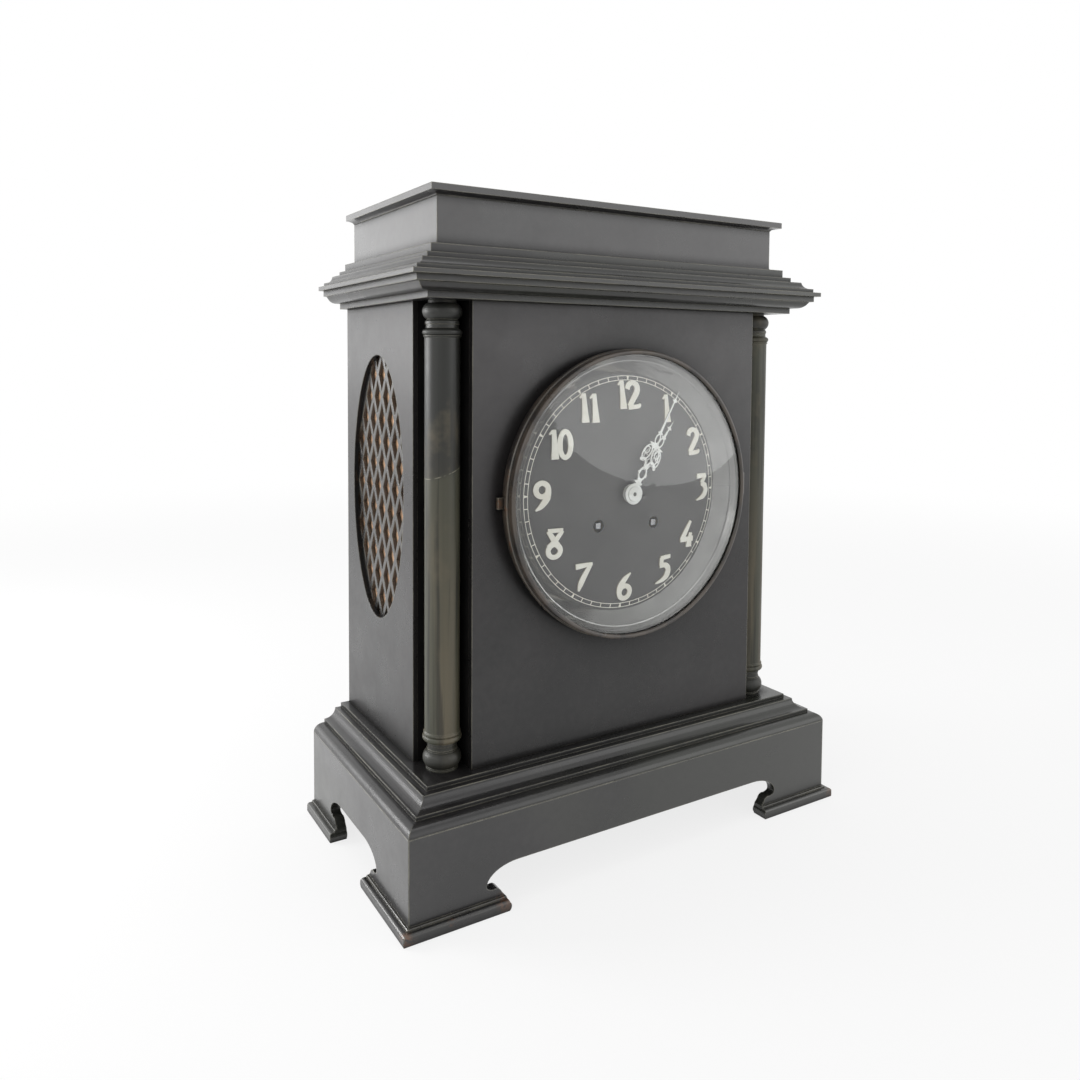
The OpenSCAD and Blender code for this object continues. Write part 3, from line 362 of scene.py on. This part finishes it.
# in front of steelFrom, in metres along the clock's depth, the arbors are steel
brass = {
    "bright": (0.62, 0.42, 0.17), "dull": (0.50, 0.31, 0.11), "tarnish": (0.27, 0.16, 0.07),
    "edge": (0.80, 0.62, 0.33), "steel": (0.13, 0.13, 0.12), "steelFrom": (-0.0700, -0.0694),
    "round": 0.00025, "rough": 0.24, "cloudSize": 45, "tarnishSize": 150, "brushSize": 1300,
}


def movementBrass(name):
    f = Finish(name)
    cloud = f.noise(brass["cloudSize"], 4, 0.6)
    brush = f.noise(brass["brushSize"], 3, 0.6, f.stretch((0.05, 1, 1)))
    tone = f.blend(f.band(cloud, 0.36, 0.66), brass["bright"], brass["dull"])
    tarnish = f.noise(brass["tarnishSize"], 4, 0.7)
    tone = f.blend(f.band(tarnish, 0.60, 0.74) * 0.6, tone, brass["tarnish"])
    soft, edge = f.edges(brass["round"])
    # lighter along outer and inner edges: painted highlight
    tone = f.blend(edge * 0.5, tone, brass["edge"])
    _, y, _ = f.axes()
    tone = f.blend(1 - f.band(y, *brass["steelFrom"]), tone, brass["steel"])
    return f.surface(Base_Color=tone, Metallic=1.0, Roughness=brass["rough"] + 0.20 * cloud,
                     Normal=f.bump(brush, 0.08, 0.0003, soft))


steel = {
    "bright": (0.36, 0.365, 0.38), "dull": (0.24, 0.235, 0.23), "edge": (0.62, 0.62, 0.63),
    "round": 0.0002, "rough": 0.26, "cloudSize": 90, "brushSize": 1500,
}


def toolSteel(name):
    f = Finish(name)
    cloud = f.noise(steel["cloudSize"], 4, 0.6)
    brush = f.noise(steel["brushSize"], 3, 0.6, f.stretch((1, 1, 0.06)))
    tone = f.blend(f.band(cloud, 0.36, 0.66), steel["bright"], steel["dull"])
    soft, edge = f.edges(steel["round"])
    # lighter along outer and inner edges: painted highlight
    tone = f.blend(edge * 0.4, tone, steel["edge"])
    return f.surface(Base_Color=tone, Metallic=1.0, Roughness=steel["rough"] + 0.18 * cloud,
                     Normal=f.bump(brush, 0.10, 0.0003, soft))


bezelGlass = {"tint": (0.985, 0.995, 0.99), "clear": (0.93, 0.94, 0.935), "bend": 1.5}


def clearGlass(name):
    # light and shade pass straight through, and only what is seen is bent
    f = Finish(name)
    glass = f.shader(Base_Color=bezelGlass["tint"], Roughness=0.0, IOR=bezelGlass["bend"],
                     Transmission_Weight=1.0)
    clear = f.node("ShaderNodeBsdfTransparent", {}, {0: (*bezelGlass["clear"], 1)})
    return f.show(f.node("ShaderNodeMixShader", {}, {0: f.ray("Shadow", "Diffuse"), 1: glass, 2: clear}))


# where each knock is and how far it reaches, in metres
footKnocks = [
    ((-0.1934, -0.0992, 0.001), 0.011), ((-0.1934, -0.0992, 0.007), 0.006), ((-0.120, -0.0975, 0.006), 0.009),
    ((-0.160, -0.0992, 0.007), 0.004), ((0.1934, -0.0992, 0.003), 0.008),
]
rimKnocks = [
    ((-0.1062, -0.0715, 0.287), 0.0050), ((-0.1070, -0.0715, 0.263), 0.0045),
    ((-0.1030, -0.0715, 0.238), 0.0050), ((-0.1100, -0.0668, 0.267), 0.0040),
]
finishes = {
    # the case's painted shade in corners reaches furthest, out over the panel round the bezel
    "case": bronzePatina("casePatina", wax=0.2, shadeReach=0.034),
    "base": bronzePatina("basePatina", wax=0.8, olive=0.5, lift=1.2, wornAt=footKnocks),
    "attic": bronzePatina("atticPatina", wax=0.7),
    "moulding": bronzePatina("mouldingPatina", wax=0.35, olive=0.7),
    "bezel": bronzePatina("bezelPatina", wax=0.3, lift=1.2, wornAt=rimKnocks, warm=0.8, shadeReach=0.003),
    "grille": bronzePatina("grillePatina", wax=0.4, lift=2.6, shadeReach=0.002),
    "niche": nicheSoot("nicheSoot"),
    "column": columnBronze("columnPatina"),
    "cloth": silkCloth("grilleSilk"),
    "silver": silveredRing("silveredRing"),
    "dial": dialBlack("dialBlack"),
    "ivory": ivoryPaint("ivoryPaint"),
    "hands": handSilver("handSilver"),
    "brass": movementBrass("movementBrass"),
    "steel": toolSteel("toolSteel"),
    "glass": clearGlass("bevelledGlass"),
}
# the rest of the movement wears brass
wears = {
    "base": ("base_front", "base_left", "base_right", "base_back"),
    "moulding": ("base_moulding", "cornice"),
    "case": ("front_panel", "side_left", "side_right", "back_frame", "back_door", "keeper_left",
             "keeper_right"),
    "attic": ("attic", "top_slab"),
    "niche": ("corner_left", "corner_right"),
    "column": ("column_left", "column_right"),
    "grille": ("grille_left", "grille_right"),
    "cloth": ("cloth_left", "cloth_right"),
    "bezel": ("bezel_ring", "bezel_hinge"),
    "silver": ("sight_ring",),
    "glass": ("dial_glass",),
    "dial": ("dial_plate",),
    "hands": ("hour_hand", "minute_hand", "hand_nut"),
    "steel": ("bezel_pin", "door_pins", "movement_straps", "time_winder", "strike_winder", "lever",
              "hairspring", "hammer", "bell_post"),
}


def dressNodes():
    finishOf = {nodeName: finish for finish, group in wears.items() for nodeName in group}
    for nodeName, piece in nodes.items():
        chosen = finishes[finishOf.get(nodeName, "brass")]
        if not piece.material_slots:
            piece.data.materials.append(chosen)
        for slot in piece.material_slots:
            slot.material = chosen


dressNodes()
print("finishes: %d on %d nodes" % (len(finishes), len(nodes)))


def setPiece(name, mesh, finish, body):
    mesh.materials.append(finishes[finish])
    made = bpy.data.objects.new(name, mesh)
    bpy.context.scene.collection.objects.link(made)
    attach(made, body)
    return made


def addPiece(name, verts, faces, finish, body, smooth=False):
    mesh = bpy.data.meshes.new(name)
    mesh.from_pydata([tuple(v) for v in verts], [], faces)
    bm = bmesh.new()
    bm.from_mesh(mesh)
    bmesh.ops.recalc_face_normals(bm, faces=bm.faces)
    bm.to_mesh(mesh)
    bm.free()
    for face in mesh.polygons:
        face.use_smooth = smooth
    return setPiece(name, mesh, finish, body)


# the dial's middle in metres and its slight turn, then in mm how far its rim stands in front of the
# clock's middle, how high its dome rises and how far out the dome goes
dialFace = {"at": Vector((0, 0, 0.267)), "turn": math.radians(1.7), "front": 60.9, "rise": 6.5, "reach": 90}


def onDial(x, y, front):
    # x right, y up and front out of the dial, in mm, in the dial's own turn
    c, s = math.cos(dialFace["turn"]), math.sin(dialFace["turn"])
    return Vector((x * c + y * s, -front, -x * s + y * c)) * mm + dialFace["at"]


def onPlate(x, y, lift):
    # the same on the domed plate, lift mm over it
    low = max(0, 1 - (x * x + y * y) / dialFace["reach"] ** 2)
    return onDial(x, y, dialFace["front"] + dialFace["rise"] * low + lift)


def circle(steps):
    return [2 * math.pi * i / steps for i in range(steps)]


class Sheetwork:
    # flat shapes that stand on the plate, gathered into one mesh
    def __init__(self):
        self.verts = []
        self.faces = []

    def face(self, *corners):
        self.faces.append(corners)

    def slab(self, loops, thick):
        # loops: one closed outline, or an outer and an inner one with as many points
        start = len(self.verts)
        n = len(loops[0])
        k = len(loops)
        for level in (0, thick):
            for loop in loops:
                self.verts += [onPlate(x, y, level) for x, y in loop]

        def at(level, loop, i):
            return start + (level * k + loop) * n + i % n

        for i in range(n):
            self.face(at(0, 0, i), at(0, 0, i + 1), at(1, 0, i + 1), at(1, 0, i))
            if k == 2:
                self.face(at(0, 1, i + 1), at(0, 1, i), at(1, 1, i), at(1, 1, i + 1))
                for level in (0, 1):
                    self.face(at(level, 0, i), at(level, 0, i + 1), at(level, 1, i + 1), at(level, 1, i))
        if k == 1:
            for level in (0, 1):
                self.face(*[at(level, 0, i) for i in range(n)])

    def ribbon(self, left, right, thick):
        # a strip between two lines of points, as a run of quads
        start = len(self.verts)
        n = len(left)
        for level in (0, thick):
            self.verts += [onPlate(x, y, level) for x, y in left + right]

        def at(level, side, i):
            return start + level * 2 * n + side * n + i

        for i in range(n - 1):
            for level in (0, 1):
                self.face(at(level, 0, i), at(level, 0, i + 1), at(level, 1, i + 1), at(level, 1, i))
            for side in (0, 1):
                self.face(at(0, side, i), at(0, side, i + 1), at(1, side, i + 1), at(1, side, i))
        for i in (0, n - 1):
            self.face(at(0, 0, i), at(0, 1, i), at(1, 1, i), at(1, 0, i))


def through(points, steps):
    # smooth run through points of (x, y, width)
    if len(points) == 2:
        return points
    run = []
    ends = [points[0]] + list(points) + [points[-1]]
    for i in range(len(points) - 1):
        p0, p1, p2, p3 = ends[i:i + 4]
        for s in range(steps):
            t = s / steps
            run.append(tuple(
                0.5 * (2 * b + (c - a) * t + (2 * a - 5 * b + 4 * c - d) * t * t
                       + (3 * b - a - 3 * c + d) * t ** 3)
                for a, b, c, d in zip(p0, p1, p2, p3)))
    return run + [tuple(points[-1])]


# all in mm: strokes are points of (x, y, width), and a ring has its middle, its half width and height and
# its line's width. Strokes of one digit differ in thickness by stagger, so that no two faces share a plane
numerals = {
    "radius": 72.5, "thick": 1.1, "stagger": 0.02, "steps": 7,
    "ringSteps": 40, "ringSide": 0.5, "ringTop": 0.45,
    "own": {3: 75, 10: 68.5},
    "shape": {
        "1": [[(-0.6, 10.5, 3.4), (0, 0, 4.4), (0.6, -10.6, 6.2)], [(-4.2, 7.0, 1.2), (-1.2, 9.6, 2.6)]],
        "2": [[(-5.2, 4.2, 4.0), (-3.8, 7.6, 4.2), (0, 9.0, 3.6), (3.6, 7.0, 4.8), (3.6, 2.6, 5.0),
               (-0.6, -4.0, 4.6), (-3.8, -8.6, 4.0)],
              [(-4.6, -9.4, 3.4), (1, -9.0, 3.4), (5.4, -8.2, 3.0), (6.4, -6.4, 1.4)]],
        "3": [[(-5.6, 8.2, 4), (4.6, 9.0, 3.2)], [(4.2, 9.0, 3), (1.0, 4.6, 3.6), (-0.6, 2.6, 3.6)],
              [(-0.6, 2.6, 3.4), (3.4, 0.6, 4.6), (4.6, -3.6, 5.0), (1.4, -8.0, 3.8), (-5.6, -10.6, 1.0)]],
        "4": [[(2.6, 10.4, 2.6), (-1.0, 4, 4), (-5.4, -3.6, 4.6)], [(-7.2, -4.4, 3.6), (6.4, -3.8, 4.2)],
              [(3.4, 1.0, 3.4), (2.6, -4, 4.4), (2.4, -10.4, 6.4)]],
        "5": [[(-3.6, 8.8, 3.6), (6.2, 10.0, 3.0)], [(-2.4, 9.0, 4.0), (-2.4, 3.2, 3.8)],
              [(-3.8, 2.8, 3.4), (1.6, 3.2, 4.0), (5.0, 0.2, 5.0), (4.4, -4.6, 5.2), (0.6, -8.4, 4.0),
               (-6.6, -10.8, 1.0)]],
        "6": [[(4.4, 10.6, 1.2), (-0.6, 6.0, 4.4), (-4.2, 0.6, 5.0), (-4.6, -4.6, 4.6)],
              ("ring", 0.3, -4.0, 4.8, 4.8, 4.2)],
        "7": [[(-6.6, 8.0, 4.2), (0, 8.8, 3.6), (7.4, 9.6, 2.4)],
              [(5.6, 8.6, 3.2), (1.6, 1.6, 4.4), (-1.2, -5, 4.4), (-2.4, -10.4, 1.6)]],
        "8": [[(-6.0, 9.4, 3.0), (6.2, 9.6, 3.0)], [(-5.6, 9.2, 3.2), (0.2, 1.4, 4.4), (4.4, -3.4, 4.0)],
              [(5.8, 9.4, 3.2), (0.2, 2.0, 4), (-4.6, -2.8, 4.4)], ("ring", 0, -5.2, 4.8, 4.6, 4.0)],
        "9": [("ring", -0.2, 4.2, 4.8, 4.8, 4.2),
              [(4.6, 4.6, 4.6), (4.0, -1.4, 5.0), (-0.4, -7.4, 4.0), (-4.8, -10.6, 1.2)]],
        "0": [("ring", 0, 0, 4.4, 9.2, 4.2)],
    },
    "pairs": {"10": (-5.2, 3.4), "11": (-4.4, 4.4), "12": (-5.0, 4.6)},
    "nudge": {1: (0.3, 0.4), 2: (1.3, 1.5), 3: (-0.3, 1.7), 4: (-1.4, 1.1), 5: (2.2, 1.7), 6: (1.9, 1.1),
              7: (-0.3, 2.1), 8: (1.0, 1.9), 9: (-0.8, 0.4), 10: (0.3, 2.3), 11: (1.3, 0), 12: (-0.9, 0.4)},
}


def drawDigit(work, digit, cx, cy):
    for level, stroke in enumerate(numerals["shape"][digit]):
        thick = numerals["thick"] + numerals["stagger"] * level
        if stroke[0] == "ring":
            _, ringX, ringY, rx, ry, w = stroke
            loops = []
            for edge in (1, -1):
                wide = rx + edge * w * numerals["ringSide"]
                high = ry + edge * w * numerals["ringTop"]
                loops.append([(cx + ringX + wide * math.cos(a), cy + ringY + high * math.sin(a))
                              for a in circle(numerals["ringSteps"])])
            work.slab(loops, thick)
            continue
        run = through(stroke, numerals["steps"])
        left, right = [], []
        for i, (x, y, w) in enumerate(run):
            ax, ay, _ = run[max(i - 1, 0)]
            bx, by, _ = run[min(i + 1, len(run) - 1)]
            long = math.hypot(bx - ax, by - ay)
            nx, ny = -(by - ay) / long, (bx - ax) / long
            left.append((cx + x + nx * w / 2, cy + y + ny * w / 2))
            right.append((cx + x - nx * w / 2, cy + y - ny * w / 2))
        work.ribbon(left, right, thick)


def setNumerals():
    for hour in range(1, 13):
        work = Sheetwork()
        angle = math.radians(90 - 30 * hour)
        radius = numerals["own"].get(hour, numerals["radius"])
        dx, dy = numerals["nudge"][hour]
        cx, cy = radius * math.cos(angle) + dx, radius * math.sin(angle) + dy
        digits = str(hour)
        for digit, step in zip(digits, numerals["pairs"].get(digits, (0,))):
            drawDigit(work, digit, cx + step, cy)
        addPiece("numeral_%d" % hour, work.verts, work.faces, "ivory", "case")


# in mm: radii and width of both circles, half widths of a tick and of each fifth tick's outer end, the
# thickness, and how far the ticks stand over the circles
minuteTrack = {
    "outer": 87.0, "inner": 83.95, "line": 0.5, "tick": 0.35, "mark": 1.15, "thick": 0.12, "proud": 0.02,
    "steps": 180,
}


def drawTrack():
    t = minuteTrack
    work = Sheetwork()
    half = t["line"] / 2
    for radius in (t["outer"], t["inner"]):
        work.slab([[(r * math.cos(a), r * math.sin(a)) for a in circle(t["steps"])]
                   for r in (radius + half, radius - half)], t["thick"])
    for minute in range(60):
        angle = math.radians(90 - 6 * minute)
        ux, uy = math.cos(angle), math.sin(angle)
        wide = t["tick"] if minute % 5 else t["mark"]
        corners = ((t["outer"], wide), (t["outer"], -wide), (t["inner"], -t["tick"]), (t["inner"], t["tick"]))
        work.slab([[(r * ux - w * uy, r * uy + w * ux) for r, w in corners]], t["thick"] + t["proud"])
    addPiece("minute_track", work.verts, work.faces, "ivory", "case")


setNumerals()
drawTrack()
print("dial: 12 numerals and the minute track")

# in metres: the cloth's middle and half sizes, and the wave of its surface
grilleCloth = {
    "inX": 0.1506, "y": 0.0345, "z": 0.2695, "halfW": 0.056, "halfH": 0.105,
    "wave": 0.00025, "ripples": (190, 60), "start": 0.7, "rings": 14, "spokes": 72,
}


def stretchCloth(side):
    g = grilleCloth
    spokes = g["spokes"]
    verts = [(side * g["inX"], g["y"], g["z"])]
    for ring in range(1, g["rings"] + 1):
        for a in circle(spokes):
            y = g["halfW"] * ring / g["rings"] * math.cos(a)
            z = g["halfH"] * ring / g["rings"] * math.sin(a)
            ripple = math.sin(y * g["ripples"][0] + g["start"]) * math.cos(z * g["ripples"][1])
            lift = g["wave"] * ripple * (1 - ring / g["rings"])
            verts.append((side * (g["inX"] + lift), g["y"] + y, g["z"] + z))

    def at(ring, i):
        return 1 + (ring - 1) * spokes + i % spokes

    faces = [[0, at(1, i), at(1, i + 1)] for i in range(spokes)]
    for ring in range(1, g["rings"]):
        faces += [[at(ring, i), at(ring + 1, i), at(ring + 1, i + 1), at(ring, i + 1)] for i in range(spokes)]
    word = "left" if side < 0 else "right"
    cloth = addPiece("silk_" + word, verts, faces, "cloth", "case", True)
    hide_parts("cloth_" + word)


for side in (-1, 1):
    stretchCloth(side)
print("grilles: silk behind both lattices")

# dome, slot and core are shares of the head's radius and coreHigh of its height, and steps run from the
# rim to the crown as shares of both
screwHead = {
    "dome": 0.55, "slot": 0.14, "core": 0.97, "coreHigh": 0.3, "sides": 24,
    "steps": ((1, 0), (1, 0.35), (0.86, 0.75), (0.5, 0.96)),
}


def halfHead(part, radius, high):
    # one side of a domed head, cut off at the slot
    half = bmesh.new()
    sides = screwHead["sides"]
    rings = []
    for wide, up in screwHead["steps"]:
        r = radius * wide
        rings.append([half.verts.new((r * math.cos(a), r * math.sin(a), high * up)) for a in circle(sides)])
    tip = half.verts.new((0, 0, high))
    for low, up in zip(rings, rings[1:]):
        for i in range(sides):
            half.faces.new([low[i], low[(i + 1) % sides], up[(i + 1) % sides], up[i]])
    for i in range(sides):
        half.faces.new([rings[-1][i], rings[-1][(i + 1) % sides], tip])
    cut = bmesh.ops.bisect_plane(half, geom=half.verts[:] + half.edges[:] + half.faces[:], clear_outer=True,
                                 plane_co=(0, part * radius * screwHead["slot"], 0), plane_no=(0, -part, 0))
    bmesh.ops.contextual_create(half, geom=[g for g in cut["geom_cut"] if isinstance(g, bmesh.types.BMEdge)])
    temp = bpy.data.meshes.new("screwHalf")
    half.to_mesh(temp)
    half.free()
    return temp


def addScrew(name, at, facing, radius, body):
    # two half heads with the slot between them, on a low core that is the slot's floor
    turn = random.uniform(0, 3)
    out = Vector(facing).normalized()
    level = out.cross(Vector((0, 0, 1))).normalized()
    along = math.cos(turn) * level + math.sin(turn) * out.cross(level)
    across = out.cross(along)
    high = radius * screwHead["dome"]
    head = bmesh.new()
    for part in (1, -1):
        half = halfHead(part, radius, high)
        head.from_mesh(half)
        bpy.data.meshes.remove(half)
    wide, deep = radius * screwHead["core"], high * screwHead["coreHigh"]
    bmesh.ops.create_cone(head, segments=screwHead["sides"], radius1=wide, radius2=wide, depth=deep,
                          cap_ends=True, matrix=Matrix.Translation((0, 0, deep / 2)))
    spin = Matrix((along, across, out)).transposed().to_4x4()
    spin.translation = Vector(at)
    bmesh.ops.transform(head, matrix=spin, verts=head.verts)
    mesh = bpy.data.meshes.new(name)
    head.to_mesh(mesh)
    head.free()
    setPiece(name, mesh, "steel", body)


random.seed(7)
# in metres, but for pair, x, y, front and back of plate and strap in mm, and first in degrees
screws = {
    "behind": 0.0932,
    "frame": {"radius": 0.0026, "x": (-0.144, 0.144), "z": (0.098, 0.190, 0.344, 0.392)},
    "hinge": {"radius": 0.0016, "fixed": -0.1155, "swings": -0.1035, "leaf": 0.0012, "z": 0.267,
              "apart": 0.080, "pair": 6.7},
    "plate": {"radius": 0.0028, "x": (-52, 52), "y": (-50, 54), "front": 50, "back": 5},
    "strap": {"radius": 0.0026, "x": (-101, 101), "y": (-47, 47), "front": 56.6},
    "keeper": {"radius": 0.0018, "inX": 0.1461, "y": 0.0345, "z": 0.2695, "halfW": 0.0548, "halfH": 0.1038,
               "first": 30, "each": 6},
}


def fitScrews():
    count = 0
    ahead, back = (0, -1, 0), (0, 1, 0)
    s = screws["frame"]
    for x in s["x"]:
        for z in s["z"]:
            addScrew("frame_screw_%d" % count, (x, screws["behind"], z), back, s["radius"], "case")
            count += 1
    s = screws["hinge"]
    leaf = screws["behind"] + s["leaf"]
    for way in (-1, 1):
        z = s["z"] + way * s["apart"]
        for end in (-1, 1):
            at = (s["fixed"], leaf, z + end * s["pair"] * mm)
            addScrew("hinge_screw_%d" % count, at, back, s["radius"], "case")
            count += 1
        addScrew("hinge_screw_%d" % count, (s["swings"], leaf, z), back, s["radius"], "door")
        count += 1
    s = screws["plate"]
    for x in s["x"]:
        for y in s["y"]:
            addScrew("front_plate_screw_%d" % count, onDial(x, y, s["front"]), ahead, s["radius"], "case")
            addScrew("back_plate_screw_%d" % count, onDial(x, y, s["back"]), back, s["radius"], "case")
            count += 2
    s = screws["strap"]
    for x in s["x"]:
        for y in s["y"]:
            addScrew("strap_screw_%d" % count, onDial(x, y, s["front"]), back, s["radius"], "case")
            count += 1
    s = screws["keeper"]
    for side in (-1, 1):
        for k in range(s["each"]):
            a = math.radians(s["first"] + 360 / s["each"] * k)
            at = (side * s["inX"], s["y"] + s["halfW"] * math.cos(a), s["z"] + s["halfH"] * math.sin(a))
            addScrew("keeper_screw_%d" % count, at, (-side, 0, 0), s["radius"], "case")
            count += 1
    return count


print("screws: %d" % fitScrews())

# the floor fades to white between the two distances of fade, and nearer it is white by seen to the eye and
# by mirrored in a reflection. around is the strength of the room's light
stage = {
    "floor": 7.0, "sides": 96, "sunk": 0.0002, "pale": 0.9, "fade": (0.75, 2.2),
    "seen": 0.80, "mirrored": 0.62, "around": 0.55,
}


def layFloor():
    f = Finish("paleFloor")
    away = f.node("ShaderNodeVectorMath", {"operation": "LENGTH"}, {0: f.place()}, 1)
    far = f.band(away, *stage["fade"])
    share = f.ray("Camera") * (stage["seen"] + (1 - stage["seen"]) * far)
    share = share + f.ray("Glossy", "Transmission") * (stage["mirrored"] + (1 - stage["mirrored"]) * far)
    matt = f.node("ShaderNodeBsdfDiffuse", {}, {0: (stage["pale"], stage["pale"], stage["pale"], 1)})
    white = f.node("ShaderNodeEmission", {}, {0: (1, 1, 1, 1), 1: 1.0})
    f.show(f.node("ShaderNodeMixShader", {}, {0: share.clamp(), 1: matt, 2: white}))
    bpy.ops.mesh.primitive_circle_add(vertices=stage["sides"], radius=stage["floor"], fill_type="NGON",
                                      location=(0, 0, -stage["sunk"]))
    floor = bpy.context.object
    floor.name = "paleFloorDisc"
    floor.data.materials.append(f.material)


def fillWorld():
    world = bpy.data.worlds.new("softRoom")
    bpy.context.scene.world = world
    f = Finish("softRoom", world)
    seen = f.ray("Camera", "Glossy", "Transmission")
    strength = stage["around"] + (1 - stage["around"]) * seen
    glow = f.node("ShaderNodeBackground", {}, {0: (1, 1, 1, 1), 1: strength})
    f.show(glow, "ShaderNodeOutputWorld")


# where each hangs, what it looks at, width, height, brightness and shape
lamps = {
    "leftWindow": ((-1.43, 2.06, 0.72), (-0.19, 0, 0.40), 1.9, 0.9, 0.94, "RECTANGLE"),
    "leftRoom": ((-2.3, -1.0, 1.3), (0, 0, 0.25), 1.8, 1.4, 1.2, "RECTANGLE"),
    "leftPool": ((-0.95, 0.60, 0.42), (-0.35, 0.16, 0), 0.5, 0.3, 15.0, "RECTANGLE"),
    "frontWindow": ((1.55, -1.62, 0.78), (0, -0.08, 0.3), 2.6, 1.6, 0.78, "ELLIPSE"),
    "topSoft": ((0, 0.2, 2.4), (0, 0, 0.3), 1.8, 1.8, 1.1, "RECTANGLE"),
}


def hangLamps():
    for name, (at, aim, wide, high, glow, shape) in lamps.items():
        data = bpy.data.lights.new(name, "AREA")
        data.shape = shape
        data.size, data.size_y = wide, high
        data.energy = glow * math.pi * wide * high
        lamp = bpy.data.objects.new(name, data)
        lamp.location = at
        lamp.rotation_euler = (Vector(aim) - Vector(at)).to_track_quat("-Z", "Y").to_euler()
        bpy.context.scene.collection.objects.link(lamp)


# the lens and the film are in mm, the place is in metres and the turns are in degrees
view = {
    "lens": 29.858, "film": 36, "nearest": 0.01, "shift": (0.0057, -0.1227),
    "at": (-0.4038, -0.5993, 0.3639), "heading": 31.15, "pitch": -2.90, "roll": 0.34,
}


def standCamera():
    data = bpy.data.cameras.new("viewpoint")
    data.lens = view["lens"]
    data.sensor_width = view["film"]
    data.shift_x, data.shift_y = view["shift"]
    data.clip_start = view["nearest"]
    a, p, r = (math.radians(view[k]) for k in ("heading", "pitch", "roll"))
    ahead = Vector((math.sin(a) * math.cos(p), math.cos(a) * math.cos(p), math.sin(p)))
    level = Vector((math.cos(a), -math.sin(a), 0))
    above = level.cross(ahead)
    right = level * math.cos(r) + above * math.sin(r)
    up = above * math.cos(r) - level * math.sin(r)
    pose = Matrix((right, up, -ahead)).transposed().to_4x4()
    pose.translation = Vector(view["at"])
    camera = bpy.data.objects.new("viewpoint", data)
    camera.matrix_world = pose
    bpy.context.scene.collection.objects.link(camera)
    bpy.context.scene.camera = camera


layFloor()
fillWorld()
hangLamps()
standCamera()
bpy.context.scene.view_settings.view_transform = "Standard"
print("stage: floor, world, %d lamps and the camera" % len(lamps))
